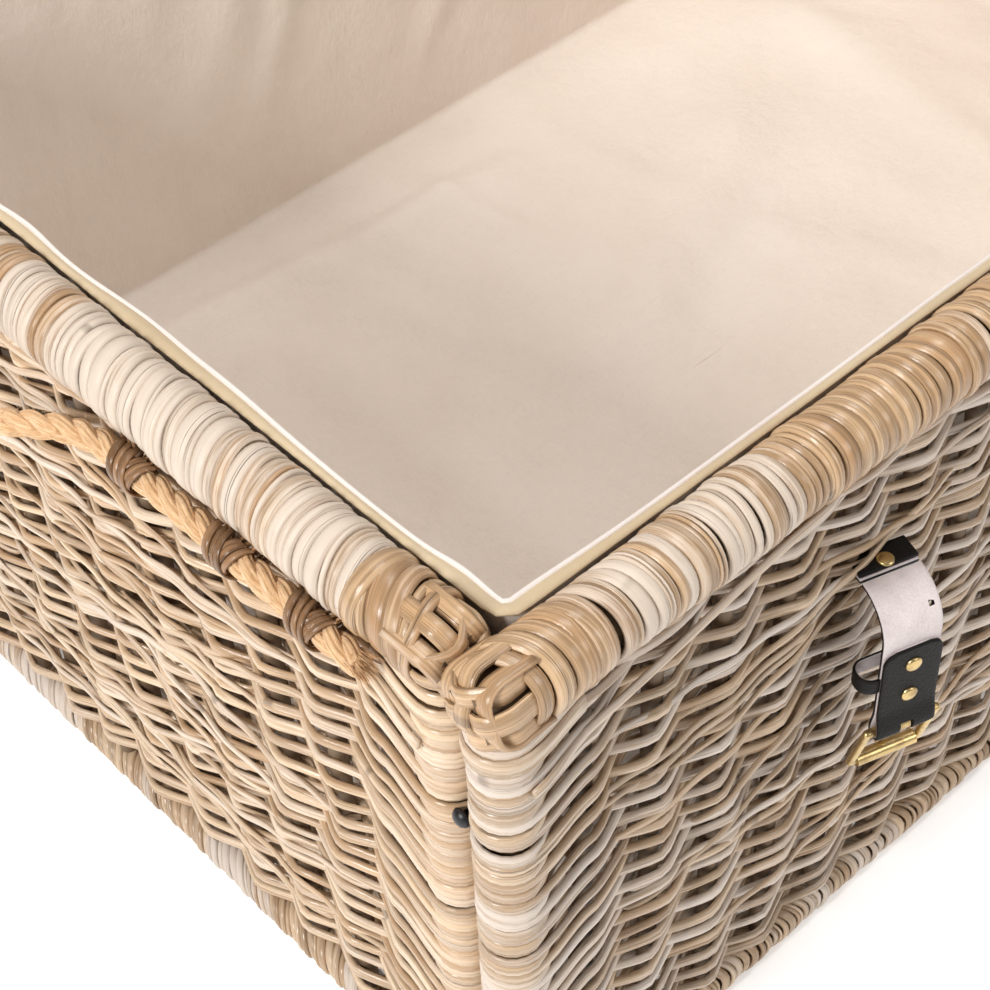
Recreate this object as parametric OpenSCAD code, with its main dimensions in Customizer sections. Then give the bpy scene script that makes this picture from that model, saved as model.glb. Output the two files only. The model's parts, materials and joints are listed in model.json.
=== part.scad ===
// Woven storage trunk: four framed wicker panels bolted together at the corners, a fabric
// liner, rope handles on the short ends, and a hinged lid held by two buckled leather straps.
// Length runs along X, depth along Y (front at -Y), height along Z. The origin is on the floor,
// under the middle of the body. The lid stands open, leaning back behind the trunk.

/* [Body] */
// Outside length of the body, over the ends of the long rims
body_l = 900; // [740:10:1100]
// Outside depth of the body, over the long rims
body_w = 648; // [540:4:800]
// Height of the body, from the floor to the top of the rims
body_h = 360; // [300:5:480]
// Thickness of the wrapped rims round the top
rim_d = 36; // [30:1:42]
// Thickness of the pole inside each rim
rim_pole_d = 24; // [16:1:25]
// Thickness of the wrapped rails round the foot
base_rail_d = 20; // [17:1:24]

/* [Weave] */
// Thickness of the woven walls
weave_t = 18; // [15:1:22]
// Thickness of the corner posts with the weave turned round them
post_d = 30; // [26:1:34]
// Thickness of the bare corner poles
pole_d = 17; // [12:1:19]
// Thickness of the upright stakes
stake_d = 9; // [6:0.5:11]
// Spacing of the stakes
stake_pitch = 39; // [32:1:56]
// Thickness of the woven lid panel
lid_weave_t = 16; // [14:1:20]

/* [Corner bolts] */
// Shank diameter of the bolts in the corner seams
bolt_d = 4; // [3:0.5:5]
// Diameter of the domed bolt heads
bolt_head_d = 9; // [7:0.5:10]

/* [Floor and liner] */
// Thickness of the floor panel
floor_t = 7.9; // [6:0.1:9]
// Height of the battens under the floor panel
batten_h = 12; // [10:1:16]
// Width of the battens
batten_w = 40; // [30:1:60]
// Distance from the rim pole's axis in to the liner's outer face
liner_inset = 19.5; // [19:0.5:26]
// Thickness of the liner fabric, with its folds and quilting taken together
liner_t = 2; // [1.5:0.5:3]
// Thickness of the turned hem along the top of the liner
hem_t = 4; // [3:0.5:6]
// Height of that hem
hem_h = 14; // [10:1:24]

/* [Rope handles] */
// Rope diameter
rope_d = 12.5; // [10:0.5:15]
// Wall of the lashings round the rope
lash_t = 1.6; // [1:0.1:2]
// Half of the free span of each handle
rope_half = 99; // [80:1:110]
// How far the middle of a handle's free span bows from the line of its lashings
rope_sag = 35; // [25:1:60]
// Angle from hanging straight down at which the stiff free span stands out from the wall
rope_lean = 70; // [0:5:90]
// Length of rope lashed down on each side of the free span
rope_tail = 153; // [120:1:160]

/* [Straps and buckles] */
// Distance from the end rims' axes to the middle of each strap
strap_x = 203; // [180:1:230]
// Height of the bend where each buckle strap leaves the wall
strap_z = 259; // [240:1:280]
// Width of the straps
strap_w = 29; // [25:0.5:32]
// Thickness of the leather
strap_t = 2.4; // [2:0.1:2.6]
// How far each buckle strap is turned towards the trunk's end
strap_yaw = 18; // [0:1:24]
// Radius of the bend in each buckle strap
bend_r = 20; // [18:1:24]
// Length from the bend to the buckle's bar
strap_drop = 76; // [72:1:84]
// Diameter of the wire in the buckle frame
wire_d = 4; // [3.5:0.1:4.2]
// Length of the buckle frame between its two bars
buckle_l = 32; // [28:1:36]
// How far the buckle leans back towards the wall
buckle_lean = 17; // [10:1:20]
// Length of the free end of each lid strap
lid_strap_l = 200; // [160:5:230]

/* [Lid] */
// Angle between the closed lid and the open lid
lid_open = 100; // [92:1:104]
// Gap between the closed lid and the body's rims
lid_gap = 0.6; // [0.4:0.1:1]
// Distance of the hinges from the middle
hinge_x = 290; // [220:5:320]
// Radius of the hinge barrels
barrel_r = 3.5; // [3.2:0.1:4]
// Radius of the hinge pins
pin_r = 1.5; // [1.2:0.1:1.8]
// Running clearance of turning parts, on the radius
run_gap = 0.05; // [0.03:0.01:0.08]

/* [Hidden] */
$fn = 64;

tan_cane = "#B39A78";
grey_cane = "#A8998A";
dark_cane = "#7A6248";
bare_pole = "#C2A678";
linen = "#DCCBB9";
jute = "#D9B37A";
lash_brown = "#6B4E34";
black_hide = "#2A2A2A";
brass = "#B8954A";
black_iron = "#1E1E20";
pine = "#C9A874";

// play: clearance of poles and stakes in the weave, on the diameter
play = 0.2;
// touch: gap left between faces that only meet
touch = 0.2;
// over: how far a cutter runs past the face it opens
over = 1;
xa = (body_l - rim_d) / 2;
ya = (body_w - rim_d) / 2;
rim_z = body_h - rim_d / 2;
wall_z0 = base_rail_d + touch;
wall_h = body_h - rim_d - touch - wall_z0;
// seam: distance between the two posts that share a corner
seam = post_d + 1;
post_x = xa + 1;
post_y = ya - seam;
// chamfer: eased ends of the rims, never so deep that they open into the poles
chamfer = min(4, (rim_d - rim_pole_d) / 3);
// root_len: how far each strap stands out of the wall before its bend
root_len = 9;

function steps(half) = max(3, round(2 * half / stake_pitch));
function stake_at(half) = [for (i = [1 : steps(half) - 1]) -half + 2 * half * i / steps(half)];

// A round bar between two points
module rod(p, q, d) {
  v = q - p;
  translate(p)
    rotate([0, acos(v.z / norm(v)), atan2(v.y, v.x)])
      cylinder(h = norm(v), d = d);
}

// A bar along X, centred
module bar_x(l, d) {
  rotate([0, 90, 0])
    cylinder(h = l, d = d, center = true);
}

// An outline drawn in Y and Z, given a width along X
module slab_x(w, outline) {
  rotate([90, 0, 90])
    linear_extrude(height = w, center = true)
      polygon(outline);
}

// A wrapped rim along X: a sleeve with eased ends round its pole
module rim_sleeve(l) {
  difference() {
    union() {
      bar_x(l - 2 * chamfer, rim_d);
      for (s = [-1, 1])
        translate([s * (l / 2 - chamfer), 0, 0])
          rotate([0, s * 90, 0])
            cylinder(h = chamfer, d1 = rim_d, d2 = rim_d - 2 * chamfer);
    }
    bar_x(l + 2 * over, rim_pole_d + play);
  }
}

// The stakes of one wall, standing in its weave
module stakes(half) {
  for (x = stake_at(half))
    translate([x, 0, wall_z0])
      cylinder(h = wall_h, d = stake_d);
}

// The woven sheet of one wall, with fat rounded ends where it turns round the posts
module wall(half) {
  difference() {
    union() {
      translate([-half, -weave_t / 2, wall_z0])
        cube([2 * half, weave_t, wall_h]);
      for (s = [-1, 1])
        translate([s * half, 0, wall_z0])
          cylinder(h = wall_h, d = post_d);
    }
    for (s = [-1, 1])
      translate([s * half, 0, wall_z0 - over])
        cylinder(h = wall_h + 2 * over, d = pole_d + play);
    for (x = stake_at(half))
      translate([x, 0, wall_z0 - over])
        cylinder(h = wall_h + 2 * over, d = stake_d + play);
  }
}

// bolt_share: heights of the upper and lower bolts, as shares of the body's height
bolt_share = [0.722, 0.264];

// Places its children at every corner bolt, with +X pointing out of the seam
module at_bolts() {
  for (sx = [0, 1], sy = [-1, 1], z = body_h * bolt_share)
    mirror([sx, 0, 0])
      translate([-xa, sy * (ya - seam / 2), z])
        rotate([0, 0, 180])
          children();
}

module bolt_holes() {
  at_bolts()
    bar_x(3 * post_d, bolt_d + 2 * touch);
}

// Half thickness of the seam's groove where the head and the nut sit
head_x = sqrt(pow(post_d / 2, 2) - pow((seam - bolt_head_d) / 2, 2)) + 2 * touch;
nut_d = 7.6;
nut_t = 3;
nut_x = sqrt(pow(post_d / 2, 2) - pow((seam - nut_d) / 2, 2)) + touch;
head_t = 3;

module bolt() {
  translate([-nut_x - nut_t, 0, 0])
    rotate([0, 90, 0]) {
      cylinder(h = nut_x + nut_t + head_x + over, d = bolt_d);
      cylinder(h = nut_t, d = nut_d, $fn = 6);
    }
  translate([head_x, 0, 0])
    rotate([0, 90, 0]) {
      cylinder(h = head_t / 2, d1 = bolt_head_d, d2 = bolt_head_d * 0.87);
      translate([0, 0, head_t / 2])
        cylinder(h = head_t / 2, d1 = bolt_head_d * 0.87, d2 = bolt_head_d * 0.4);
    }
}

module long_rim_poles() {
  color(bare_pole)
    for (s = [-1, 1])
      translate([0, s * ya, rim_z])
        bar_x(body_l - chamfer, rim_pole_d);
}

short_rim_l = 2 * (ya - rim_d / 2 - touch);

module short_rim_poles() {
  color(bare_pole)
    for (s = [-1, 1])
      translate([s * xa, 0, rim_z])
        rotate([0, 0, 90])
          bar_x(short_rim_l - chamfer, rim_pole_d);
}

module corner_posts() {
  color(bare_pole)
    for (sx = [-1, 1], sy = [-1, 1]) {
      translate([sx * post_x, sy * ya, wall_z0])
        cylinder(h = wall_h, d = pole_d);
      translate([sx * xa, sy * post_y, wall_z0])
        cylinder(h = wall_h, d = pole_d);
    }
}

module long_rim(s) {
  translate([0, s * ya, rim_z])
    rim_sleeve(body_l);
}

module short_rim(s) {
  translate([s * xa, 0, rim_z])
    rotate([0, 0, 90])
      rim_sleeve(short_rim_l);
}

module front_rim_wrap() {
  color(grey_cane)
    long_rim(-1);
}

module back_rim_wrap() {
  color(grey_cane)
    long_rim(1);
}

module left_rim_wrap() {
  color(grey_cane)
    short_rim(-1);
}

module right_rim_wrap() {
  color(grey_cane)
    short_rim(1);
}

module front_stakes() {
  color(dark_cane)
    translate([0, -ya, 0])
      stakes(post_x);
}

module back_stakes() {
  color(dark_cane)
    translate([0, ya, 0])
      stakes(post_x);
}

module left_stakes() {
  color(dark_cane)
    translate([-xa, 0, 0])
      rotate([0, 0, 90])
        stakes(post_y);
}

module right_stakes() {
  color(dark_cane)
    translate([xa, 0, 0])
      rotate([0, 0, 90])
        stakes(post_y);
}

// Frame of one buckle strap: X across the strap, Y into the wall, Z up, origin at the bend
module at_strap(s) {
  mirror([s > 0 ? 1 : 0, 0, 0])
    translate([strap_x - xa, -ya - weave_t / 2 - root_len, strap_z])
      rotate([0, 0, -strap_yaw])
        children();
}

// How deep the strap roots reach into the wall
root_depth = 3.5;

module strap_pockets() {
  for (s = [-1, 1])
    at_strap(s)
      translate([-strap_w / 2 - touch, -over, -strap_t / 2 - touch])
        cube([strap_w + 2 * touch, 3 * rim_d, 2 * strap_t + 3 * touch]);
}

module front_weave() {
  color(tan_cane)
    difference() {
      translate([0, -ya, 0])
        wall(post_x);
      bolt_holes();
      intersection() {
        strap_pockets();
        translate([-xa, -body_w, 0])
          cube([2 * xa, body_w - ya - weave_t / 2 + root_depth + touch, body_h]);
      }
    }
}

module back_weave() {
  color(tan_cane)
    difference() {
      translate([0, ya, 0])
        wall(post_x);
      bolt_holes();
    }
}

module left_weave() {
  color(tan_cane)
    difference() {
      translate([-xa, 0, 0])
        rotate([0, 0, 90])
          wall(post_y);
      bolt_holes();
    }
}

module right_weave() {
  color(tan_cane)
    difference() {
      translate([xa, 0, 0])
        rotate([0, 0, 90])
          wall(post_y);
      bolt_holes();
    }
}

base_l = 2 * (post_x + base_rail_d / 2);
short_base_l = 2 * (ya - base_rail_d / 2 - touch);

module long_base(s) {
  translate([0, s * ya, base_rail_d / 2])
    bar_x(base_l, base_rail_d);
}

module short_base(s) {
  translate([s * xa, 0, base_rail_d / 2])
    rotate([0, 0, 90])
      bar_x(short_base_l, base_rail_d);
}

module front_base_rail() {
  color(grey_cane)
    long_base(-1);
}

module back_base_rail() {
  color(grey_cane)
    long_base(1);
}

module left_base_rail() {
  color(grey_cane)
    short_base(-1);
}

module right_base_rail() {
  color(grey_cane)
    short_base(1);
}

module corner_bolts() {
  color(black_iron)
    at_bolts()
      bolt();
}

// The floor fits inside the corner posts
floor_x = xa - post_d / 2 - 3;
floor_y = ya - post_d / 2 - 3;
floor_z = batten_h + touch / 2;

module floor_panel() {
  color(tan_cane)
    translate([-floor_x, -floor_y, floor_z])
      cube([2 * floor_x, 2 * floor_y, floor_t]);
}

module floor_battens() {
  color(pine)
    for (x = [-body_l / 3, 0, body_l / 3])
      translate([x - batten_w / 2, -short_base_l / 2, 0])
        cube([batten_w, short_base_l, batten_h]);
}

liner_x = xa - liner_inset;
liner_y = ya - liner_inset;
liner_z0 = floor_z + floor_t + touch;
liner_z1 = rim_z + 9;

module liner() {
  color(linen)
    difference() {
      translate([-liner_x, -liner_y, liner_z0])
        cube([2 * liner_x, 2 * liner_y, liner_z1 - liner_z0]);
      translate([-liner_x + liner_t, -liner_y + liner_t, liner_z0 + liner_t])
        cube([2 * (liner_x - liner_t), 2 * (liner_y - liner_t),
          liner_z1 - liner_z0 - liner_t - hem_h + over / 2]);
      translate([-liner_x + hem_t, -liner_y + hem_t, liner_z1 - hem_h])
        cube([2 * (liner_x - hem_t), 2 * (liner_y - hem_t), hem_h + over]);
    }
}

// The rope lies against the rim's lower outer side, as far out as its lashings need
lash_r = rope_d / 2 + lash_t;
rope_off = max((rim_d / 2 + lash_r + touch / 2) / sqrt(2) + 0.5, weave_t / 2 + lash_r + touch);
rope_x = xa + rope_off;
rope_z = rim_z - rope_off;
lash_len = 14;
// The tails stop clear of the corner posts, and each carries three lashings
tail_end = min(rope_half + rope_tail, ya - 54);
lash_first = rope_half + 8;
lash_last = tail_end - 32;
lash_share = 0.55;
lash_at = [lash_first, lash_first + lash_share * (lash_last - lash_first), lash_last];

// rope_ease: how stiffly the free span leaves its lashings
rope_ease = 1.35;
function rope_fall(y) = (1 + cos(180 * y / rope_half)) / 2;
function rope_pt(y) = [0, y, -rope_sag * pow(rope_fall(y), rope_ease)];
// Rings of points square to the rope's run in the YZ plane
loop_end = rope_half - touch;
loop_n = 24;
loop_sides = 12;
loop_ys = [for (i = [0 : loop_n]) -loop_end + 2 * loop_end * i / loop_n];
function slope(y) = atan(rope_sag * rope_ease * pow(rope_fall(y), rope_ease - 1)
  * sin(180 * y / rope_half) * PI / (2 * rope_half));
function tilt_at(i) = i == 0 || i == loop_n ? 0 : slope(loop_ys[i]);
function ring(i) = [for (k = [0 : loop_sides - 1])
  let (a = 360 * k / loop_sides, r = rope_d / 2, t = tilt_at(i), c = rope_pt(loop_ys[i]))
    [r * cos(a), c.y - r * sin(a) * sin(t), c.z + r * sin(a) * cos(t)]];

module rope_sweep() {
  pts = [for (i = [0 : loop_n]) each ring(i)];
  sides = [for (i = [0 : loop_n - 1], k = [0 : loop_sides - 1])
    let (a = i * loop_sides + k, b = i * loop_sides + (k + 1) % loop_sides)
      [a, b, b + loop_sides, a + loop_sides]];
  first = [for (k = [0 : loop_sides - 1]) loop_sides - 1 - k];
  last = [for (k = [0 : loop_sides - 1]) loop_n * loop_sides + k];
  polyhedron(points = pts, faces = concat(sides, [first, last]), convexity = 4);
}

module at_rope(s) {
  translate([s * rope_x, 0, rope_z])
    children();
}

module rope_tails(s) {
  color(jute)
    at_rope(s)
      for (e = [-1, 1])
        rod([0, e * (rope_half + touch), 0], [0, e * tail_end, 0], rope_d);
}

module rope_loop(s) {
  color(jute)
    at_rope(s)
      rotate([0, -s * rope_lean, 0])
        rope_sweep();
}

// Each lashing is a wound band round the rope, with a tail into the weave under the rim
module lashings(s) {
  color(lash_brown)
    at_rope(s)
      for (e = [-1, 1], y = lash_at) {
        difference() {
          union() {
            translate([0, e * y, 0])
              rotate([0, 0, 90])
                bar_x(lash_len, 2 * lash_r);
            rod([0, e * y, 0], [-s * (rope_off - weave_t / 2 - touch), e * y, 0], lash_len / 3);
          }
          translate([0, e * y, 0])
            rotate([0, 0, 90])
              bar_x(lash_len + 2 * over, rope_d + play);
        }
      }
}

module left_rope_tails() {
  rope_tails(-1);
}

module right_rope_tails() {
  rope_tails(1);
}

module left_rope_loop() {
  rope_loop(-1);
}

module right_rope_loop() {
  rope_loop(1);
}

module left_lashings() {
  lashings(-1);
}

module right_lashings() {
  lashings(1);
}

root_rivet_y = 5.5;
// root_gap: room between the root and the strap that turns at the bend
root_gap = 0.35;
rivet_d = 4;
rivet_head_d = 8;
rivet_head_t = 1.2;

module across(w, y0, y1, z0, z1) {
  translate([-w / 2, y0, z0])
    cube([w, y1 - y0, z1 - z0]);
}

// The strap's root: two layers of leather that come out of the wall and stop at the bend
module strap_root(s) {
  color(black_hide)
    difference() {
      intersection() {
        at_strap(s)
          union() {
            across(strap_w, strap_t / 2 + root_gap, 2 * rim_d, -strap_t / 2, strap_t / 2);
            across(strap_w, strap_t / 2 + over, 2 * rim_d, strap_t / 2, 1.5 * strap_t);
          }
        translate([-xa, -body_w, 0])
          cube([2 * xa, body_w - ya - weave_t / 2 + root_depth, body_h]);
      }
      at_strap(s)
        translate([0, root_rivet_y, 0])
          cylinder(h = 4 * strap_t, d = rivet_d + play, center = true);
    }
}

module left_strap_root() {
  strap_root(-1);
}

module right_strap_root() {
  strap_root(1);
}

// A rivet through a stack of leather, along Z
module rivet(stack) {
  cylinder(h = stack + 2 * rivet_head_t, d = rivet_d, center = true);
  for (k = [0, 1])
    mirror([0, 0, k])
      translate([0, 0, stack / 2])
        cylinder(h = rivet_head_t, d1 = rivet_head_d, d2 = rivet_head_d - 2 * rivet_head_t);
}

module root_rivets() {
  color(brass)
    for (s = [-1, 1])
      at_strap(s)
        translate([0, root_rivet_y, strap_t / 2])
          rivet(2 * strap_t + touch);
}

// Face between the strap's two layers, and the middle of the fold round the buckle's bar
mid_y = -bend_r - strap_t / 2;
fold_z = -strap_drop;
fold_r = wire_d / 2 + run_gap;
flap_top = -bend_r - 4;
join_z = fold_z + 14;
rivet_zs = [flap_top - 10, join_z + 8];
keeper_z = (rivet_zs[0] + rivet_zs[1]) / 2;
keeper_h = 8.6;
keeper_wall = 2;
keeper_in = 1;
keeper_room = 10;
// keeper_side: room beside the strap inside the keeper
keeper_side = 0.7;
// slip: gap between the strap's layers and what is held between them
slip = 0.05;
slot_w = 7;
slot_past = 0.5;
ring_r = 3.7;

module buckle_strap(s) {
  color(black_hide)
    at_strap(s)
      difference() {
        union() {
          bar_x(strap_w, strap_t);
          intersection() {
            translate([0, 0, -bend_r])
              difference() {
                bar_x(strap_w, 2 * bend_r + strap_t);
                bar_x(strap_w + 2 * over, 2 * bend_r - strap_t);
              }
            across(strap_w, -bend_r - strap_t, 0, -bend_r, strap_t);
          }
          across(strap_w, mid_y, mid_y + strap_t, join_z, -bend_r);
          across(strap_w, mid_y - strap_t, mid_y, join_z, flap_top);
          for (k = [-1, 1])
            translate([0, mid_y, 0])
              slab_x(strap_w, [
                [0, join_z],
                [k * strap_t, join_z],
                [k * (fold_r + strap_t), fold_z],
                [k * fold_r, fold_z]]);
          intersection() {
            translate([0, mid_y, fold_z])
              difference() {
                bar_x(strap_w, 2 * (fold_r + strap_t));
                bar_x(strap_w + 2 * over, 2 * fold_r);
              }
            across(strap_w, mid_y - 2 * rim_d, mid_y + 2 * rim_d, fold_z - rim_d, fold_z);
          }
        }
        across(slot_w, mid_y - rim_d, mid_y + rim_d, fold_z - rim_d, fold_z + ring_r + slot_past);
        across(strap_w + 2 * over, mid_y, mid_y + keeper_in + slip,
          keeper_z - keeper_h / 2 - touch, keeper_z + keeper_h / 2 + touch);
        for (z = rivet_zs)
          translate([0, mid_y, z])
            rotate([90, 0, 0])
              cylinder(h = 4 * strap_t, d = rivet_d + play, center = true);
      }
}

module left_buckle_strap() {
  buckle_strap(-1);
}

module right_buckle_strap() {
  buckle_strap(1);
}

// A leather loop for the free strap end, caught between the strap's two layers
module keeper(s) {
  half = strap_w / 2 + keeper_side;
  color(black_hide)
    at_strap(s)
      difference() {
        across(2 * (half + keeper_wall), mid_y + slip / 5, mid_y + strap_t + keeper_room + keeper_wall,
          keeper_z - keeper_h / 2, keeper_z + keeper_h / 2);
        across(2 * half, mid_y + keeper_in, mid_y + strap_t + keeper_room,
          keeper_z - keeper_h, keeper_z + keeper_h);
      }
}

module left_keeper() {
  keeper(-1);
}

module right_keeper() {
  keeper(1);
}

module strap_rivets(s) {
  color(brass)
    at_strap(s)
      for (z = rivet_zs)
        translate([0, mid_y, z])
          rotate([90, 0, 0])
            rivet(2 * strap_t + touch);
}

module left_strap_rivets() {
  strap_rivets(-1);
}

module right_strap_rivets() {
  strap_rivets(1);
}

// Frame of one buckle: Z runs back up from its far bar to the bar in the fold
module at_buckle(s) {
  at_strap(s)
    translate([0, mid_y, fold_z])
      rotate([buckle_lean, 0, 0])
        children();
}

side_x = strap_w / 2 + 1 + wire_d / 2;

module buckle_frame(s) {
  color(brass)
    at_buckle(s) {
      for (z = [0, -buckle_l])
        translate([0, 0, z])
          bar_x(2 * side_x, wire_d);
      for (k = [-1, 1]) {
        rod([k * side_x, 0, -buckle_l], [k * side_x, 0, 0], wire_d);
        for (z = [0, -buckle_l])
          translate([k * side_x, 0, z])
            sphere(d = wire_d);
      }
    }
}

module left_buckle_frame() {
  buckle_frame(-1);
}

module right_buckle_frame() {
  buckle_frame(1);
}

roller_r = 3.5;
prong_d = 2.8;
prong_w = 5;
// side_gap: room between the turning parts and what stands beside them
side_gap = 0.3;
// prong_past: how far the prong's tip reaches past the roller's axis
prong_past = 3;

// The prong lies on the side of the roller that faces the wall
module prong(s) {
  color(brass)
    at_buckle(s)
      difference() {
        union() {
          bar_x(prong_w, 2 * ring_r);
          rod([0, wire_d / 2 + prong_d / 2 + touch, 0],
            [0, roller_r + prong_d / 2 + side_gap, -buckle_l - prong_past], prong_d);
        }
        bar_x(prong_w + 2 * over, wire_d + 2 * run_gap);
      }
}

module left_prong() {
  prong(-1);
}

module right_prong() {
  prong(1);
}

module roller(s) {
  color(brass)
    at_buckle(s)
      translate([0, 0, -buckle_l])
        difference() {
          bar_x(2 * (side_x - wire_d / 2 - side_gap), 2 * roller_r);
          bar_x(4 * side_x, wire_d + 2 * run_gap);
        }
}

module left_roller() {
  roller(-1);
}

module right_roller() {
  roller(1);
}

// The hinge line, behind the rims at the level where body and lid meet
leaf_t = 2;
leaf_h = 36;
leaf_w = 60;
leaf_gap = 0.1;
// barrel_off: distance from the leaves' inner faces to the hinge line
barrel_off = barrel_r + 0.9;
axis_y = ya + rim_d / 2 + leaf_gap + barrel_off;
axis_z = body_h + lid_gap / 2;
neck = 4;
knuckle_gap = 0.6;
lid_knuckle = leaf_w / 3 - knuckle_gap;
// lug_out: how far the stop lugs reach behind the hinge line
lug_out = 12;
pin_head_t = 1.5;

// Turns the closed lid to where it stands
module lid_pose() {
  translate([0, axis_y, axis_z])
    rotate([-lid_open, 0, 0])
      translate([0, -axis_y, -axis_z])
        children();
}

module at_hinges() {
  for (s = [-1, 1])
    translate([s * hinge_x, axis_y, axis_z])
      children();
}

leaf_y = leaf_gap - barrel_off;

module leaf_part(w, z0, z1) {
  translate([-w / 2, leaf_y, z0])
    cube([w, leaf_t, z1 - z0]);
}

// Each body leaf carries two knuckles, and a lug under each that stops the open lid
module hinge_body_leaves() {
  side = leaf_w / 3;
  color(brass)
    at_hinges()
      difference() {
        union() {
          leaf_part(leaf_w, -leaf_h, -neck);
          for (s = [-1, 1])
            translate([s * side, 0, 0]) {
              bar_x(side, 2 * barrel_r);
              leaf_part(side, -neck - over, -slot_past);
              translate([-side / 2, -barrel_r, -barrel_r])
                cube([side, barrel_r + lug_out, barrel_r - knuckle_gap]);
            }
        }
        bar_x(2 * leaf_w, 2 * (pin_r + run_gap));
      }
}

module hinge_lid_leaves() {
  color(brass)
    lid_pose()
      at_hinges()
        difference() {
          union() {
            leaf_part(leaf_w, neck, leaf_h);
            leaf_part(lid_knuckle, slot_past, neck + over);
            bar_x(lid_knuckle, 2 * barrel_r);
          }
          bar_x(2 * leaf_w, 2 * (pin_r + run_gap));
        }
}

module hinge_pins() {
  color(brass)
    at_hinges() {
      bar_x(leaf_w + 2 * over, 2 * pin_r);
      for (s = [-1, 1])
        translate([s * (leaf_w / 2 + touch + pin_head_t / 2), 0, 0])
          bar_x(pin_head_t, 2 * pin_r + 2);
    }
}

lid_z = body_h + lid_gap + rim_d / 2;

module lid_rim_poles() {
  color(bare_pole)
    lid_pose() {
      for (s = [-1, 1]) {
        translate([0, s * ya, lid_z])
          bar_x(body_l - chamfer, rim_pole_d);
        translate([s * xa, 0, lid_z])
          rotate([0, 0, 90])
            bar_x(short_rim_l - chamfer, rim_pole_d);
      }
    }
}

module lid_rim_wraps() {
  color(grey_cane)
    lid_pose() {
      for (s = [-1, 1]) {
        translate([0, s * ya, lid_z])
          rim_sleeve(body_l);
        translate([s * xa, 0, lid_z])
          rotate([0, 0, 90])
            rim_sleeve(short_rim_l);
      }
    }
}

lid_in_x = xa - rim_d / 2 - touch;
lid_in_y = ya - rim_d / 2 - touch;

module lid_stakes() {
  color(dark_cane)
    lid_pose()
      for (x = stake_at(lid_in_x))
        translate([x, 0, lid_z])
          rotate([0, 0, 90])
            bar_x(2 * lid_in_y, stake_d);
}

module lid_weave() {
  color(tan_cane)
    lid_pose()
      difference() {
        translate([-lid_in_x, -lid_in_y, lid_z - lid_weave_t / 2])
          cube([2 * lid_in_x, 2 * lid_in_y, lid_weave_t]);
        for (x = stake_at(lid_in_x))
          translate([x, 0, lid_z])
            rotate([0, 0, 90])
              bar_x(2 * lid_in_y + 2 * over, stake_d + play);
      }
}

module lid_lining() {
  edge = 4;
  color(linen)
    lid_pose()
      translate([-lid_in_x + edge, -lid_in_y + edge, lid_z - lid_weave_t / 2 - touch - liner_t])
        cube([2 * (lid_in_x - edge), 2 * (lid_in_y - edge), liner_t]);
}

// Each lid strap is held by a doubled tab that comes out of the lid and over its front rim
tab_in = rim_d / 2 + touch / 2;
tab_out = tab_in + 2 * strap_t;
tab_x = xa - strap_x;
strap_ay = -ya - 12;
strap_az = lid_z + tab_out + strap_t / 2 - 0.6;
tab_back = 34;
tab_len = 66;

module lid_strap_tabs() {
  color(black_hide)
    lid_pose()
      for (s = [-1, 1])
        translate([s * tab_x, 0, 0])
          difference() {
            union() {
              intersection() {
                translate([0, -ya, lid_z])
                  difference() {
                    bar_x(strap_w, 2 * tab_out);
                    bar_x(strap_w + 2 * over, 2 * tab_in);
                  }
                across(strap_w, -ya - 8, -ya, lid_z, lid_z + 2 * rim_d);
              }
              slab_x(strap_w, [
                [-ya - 0.1, lid_z + tab_in],
                [-ya - 0.1, lid_z + tab_out],
                [-ya + 6, lid_z + tab_out],
                [-ya + tab_back, lid_z + lid_weave_t / 2 + 2 * strap_t + touch],
                [-ya + tab_len, lid_z + lid_weave_t / 2 + 2 * strap_t + touch],
                [-ya + tab_len, lid_z + lid_weave_t / 2 + touch],
                [-ya + tab_back, lid_z + lid_weave_t / 2 + touch],
                [-ya + 6, lid_z + tab_in]]);
            }
            for (y = [tab_back + 8, tab_back + 22])
              translate([0, -ya + y, lid_z + lid_weave_t / 2])
                cylinder(h = 6 * strap_t, d = rivet_d + play, center = true);
          }
}

module lid_tab_rivets() {
  color(brass)
    lid_pose()
      for (s = [-1, 1], y = [tab_back + 8, tab_back + 22])
        translate([s * tab_x, -ya + y, lid_z + lid_weave_t / 2 + touch]) {
          cylinder(h = 2 * strap_t + touch, d = rivet_d);
          translate([0, 0, 2 * strap_t + touch])
            cylinder(h = rivet_head_t, d1 = rivet_head_d, d2 = rivet_head_d - 2 * rivet_head_t);
        }
}

hole_d = 4.5;
hole_pitch = 20;
holes = 5;

// The free end hangs straight down behind the open lid, and its tip is rounded
module lid_strap(s) {
  color(black_hide)
    lid_pose()
      translate([s * tab_x, strap_ay, strap_az])
        rotate([lid_open - 90, 0, 0])
          difference() {
            union() {
              bar_x(strap_w, strap_t);
              across(strap_w, 0, lid_strap_l - strap_w / 2, -strap_t / 2, strap_t / 2);
              translate([0, lid_strap_l - strap_w / 2, 0])
                cylinder(h = strap_t, d = strap_w, center = true);
            }
            for (i = [0 : holes - 1])
              translate([0, lid_strap_l - strap_w / 2 - 8 - i * hole_pitch, 0])
                cylinder(h = 2 * strap_t, d = hole_d, center = true);
          }
}

module left_lid_strap() {
  lid_strap(-1);
}

module right_lid_strap() {
  lid_strap(1);
}

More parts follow.
